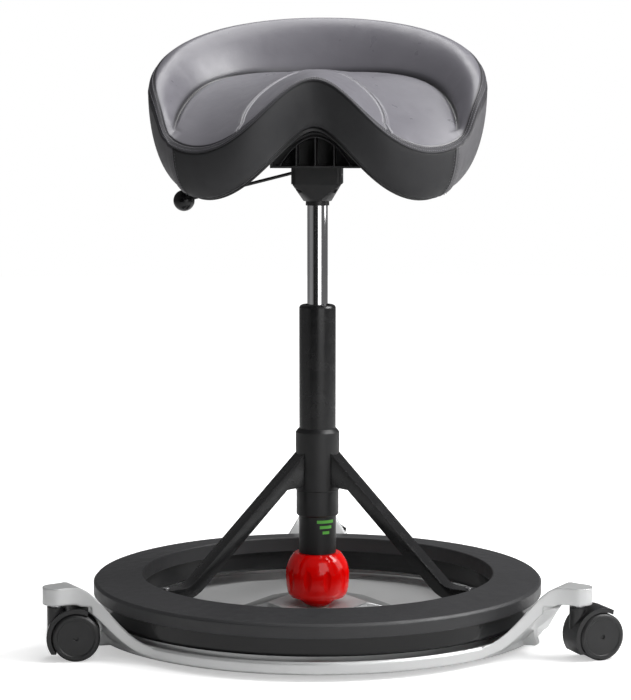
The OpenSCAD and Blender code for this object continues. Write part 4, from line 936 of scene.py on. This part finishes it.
# %% Seat board
BOARD_EDGE, BOARD_GAP, LIP_SHARES = 0.974, 0.3, (0.35, 0.75)
BOARD_SHARES = np.concatenate([[0], np.linspace(0.1, 0.9, 9), [0.94, BOARD_EDGE]])
board_a = np.linspace(-90, 270, 181)[:, None]


def board_row(share, deep):
    return under_place(board_a, np.full_like(board_a, share), BOARD_GAP + SHELL_T * deep)


top = [board_row(share, 0) for share in BOARD_SHARES]
lip = [board_row(BOARD_EDGE, deep) for deep in LIP_SHARES]
low = [board_row(share, 1) for share in BOARD_SHARES[:-1]]
seat_board, _, _ = lay_grid("seat_board", turned(np.concatenate(top + lip + low[::-1], 1)))
seat_board.data.materials.append(black_plastic)
weld(seat_board)
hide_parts("seat_shell")
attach(seat_board, "seat")

# %% [markdown]
# ## Beads and stitches
# A thin welt runs in the groove under the binding, and a thinner cord closes the hem. Both are tubes
# swept along a row of the skin. The stitches are one small rounded thread, modelled once and copied
# along each sewn row, because bump on the leather would vanish at this size.

# %% Sweep the beads
BEAD_SIDES, BEAD_GAP = 10, 0.00001
WELT_R, WELT_OUT, CORD_R, CORD_OUT = 1.35, 0.5, 0.9, 0.3


def sweep(name, line, out, side, radius, mat):
    turn = np.linspace(0, 2 * math.pi, BEAD_SIDES + 1)[None, :, None]
    ring = line[:, None] + radius * (np.cos(turn) * out[:, None] + np.sin(turn) * side[:, None])
    ring[:, -1] = ring[:, 0]
    ring[-1] = ring[0]
    tube, _, _ = lay_grid(name, ring)
    tube.data.materials.append(mat)
    weld(tube, BEAD_GAP)
    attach(tube, "seat")


def row_frame(row):
    line, out = skin[:, row], skin_out[:, row]
    ahead = np.gradient(np.concatenate([line[-2:-1], line, line[1:2]]), axis=0)[1:-1]
    return line, out, unit(np.cross(out, unit(ahead)))


line, out, side = row_frame(EDGE_ROW)
sweep("rim_welt", line + out * WELT_OUT, out, side, WELT_R, binding_leather)
line, out, side = row_frame(HEM_CORD_ROW)
sweep("hem_cord", line + out * CORD_OUT, out, side, CORD_R, dark_leather)

# %% One stitch
STITCH_HALVES = (1.35, 0.42, 0.32)
bpy.ops.object.select_all(action="DESELECT")
bpy.ops.mesh.primitive_uv_sphere_add(segments=6, ring_count=5, radius=1)
stitch = bpy.context.object
bpy.ops.transform.resize(value=STITCH_HALVES)
bpy.ops.object.transform_apply(location=False, rotation=False, scale=True)
stitch_points = read_points(stitch.data)
stitch_faces = [list(face.vertices) for face in stitch.data.polygons]
bpy.data.objects.remove(stitch)
print("one stitch has", len(stitch_faces), "faces")


# %% Copy the stitch along each row
LOOK_AHEAD, STITCH_LIFT, SEAM_LIFT = 0.5, 0.1, 0.9
SEAM_PITCH, BINDING_PITCH, BINDING_STEPS = 3.6, 3.2, (2, 6)
PANEL_FROM, SIDE_FROM, SIDE_TO = 12, EDGE_ROW + 3, HEM_ROW - 6


def spaced(line, out, pitch):
    step = np.linalg.norm(np.diff(line, axis=0), axis=1)
    run = np.concatenate([[0], np.cumsum(step)])
    marks = np.linspace(0, run[-1], int(run[-1] / pitch))[:-1] + pitch / 2
    marks = marks[marks < run[-1] - pitch / 4]
    at = np.stack([np.interp(marks, run, line[:, k]) for k in range(3)], 1)
    up = unit(np.stack([np.interp(marks, run, out[:, k]) for k in range(3)], 1))
    beyond = np.stack([np.interp(marks + LOOK_AHEAD, run, line[:, k]) for k in range(3)], 1)
    return at, up, unit(beyond - at)


def sew(name, rows, mat, pitch=SEAM_PITCH):
    points, faces = [], []
    for line, out in rows:
        for at, up, ahead in zip(*spaced(line, out, pitch)):
            axes = np.stack([ahead, np.cross(up, ahead), up])
            start = len(points) * len(stitch_points)
            points.append(at + up * STITCH_LIFT + stitch_points @ axes)
            faces.extend([[start + v for v in face] for face in stitch_faces])
    mesh = bpy.data.meshes.new(name)
    mesh.from_pydata((np.concatenate(points) / MM_PER_M).tolist(), [], faces)
    mesh.materials.append(mat)
    piece = bpy.data.objects.new(name, mesh)
    bpy.context.scene.collection.objects.link(piece)
    alone(piece)
    bpy.ops.object.shade_smooth()
    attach(piece, "seat")
    print(name, len(points), "stitches")


def beside(mark, off, first_row, last_row):
    k = int(np.argmin(np.abs(columns - mark)))
    line, out = skin[k, first_row:last_row], skin_out[k, first_row:last_row]
    ahead = unit(np.gradient(line, axis=0))
    return line + np.cross(out, ahead) * off + out * SEAM_LIFT, out


def both_sides(marks, off, first_row, last_row):
    return [beside(mark, way * off, first_row, last_row) for mark in marks for way in (-1, 1)]


sew("pommel_stitches", both_sides(PANEL_SEAMS, STITCH_OFF, PANEL_FROM, BINDING_ROW), thread)
sew("side_stitches", both_sides(SIDE_SEAMS, SIDE_STITCH_OFF, SIDE_FROM, SIDE_TO), dark_thread)
binding_lines = [(skin[:, BINDING_ROW + k], skin_out[:, BINDING_ROW + k]) for k in BINDING_STEPS]
sew("binding_stitches", binding_lines, thread, pitch=BINDING_PITCH)
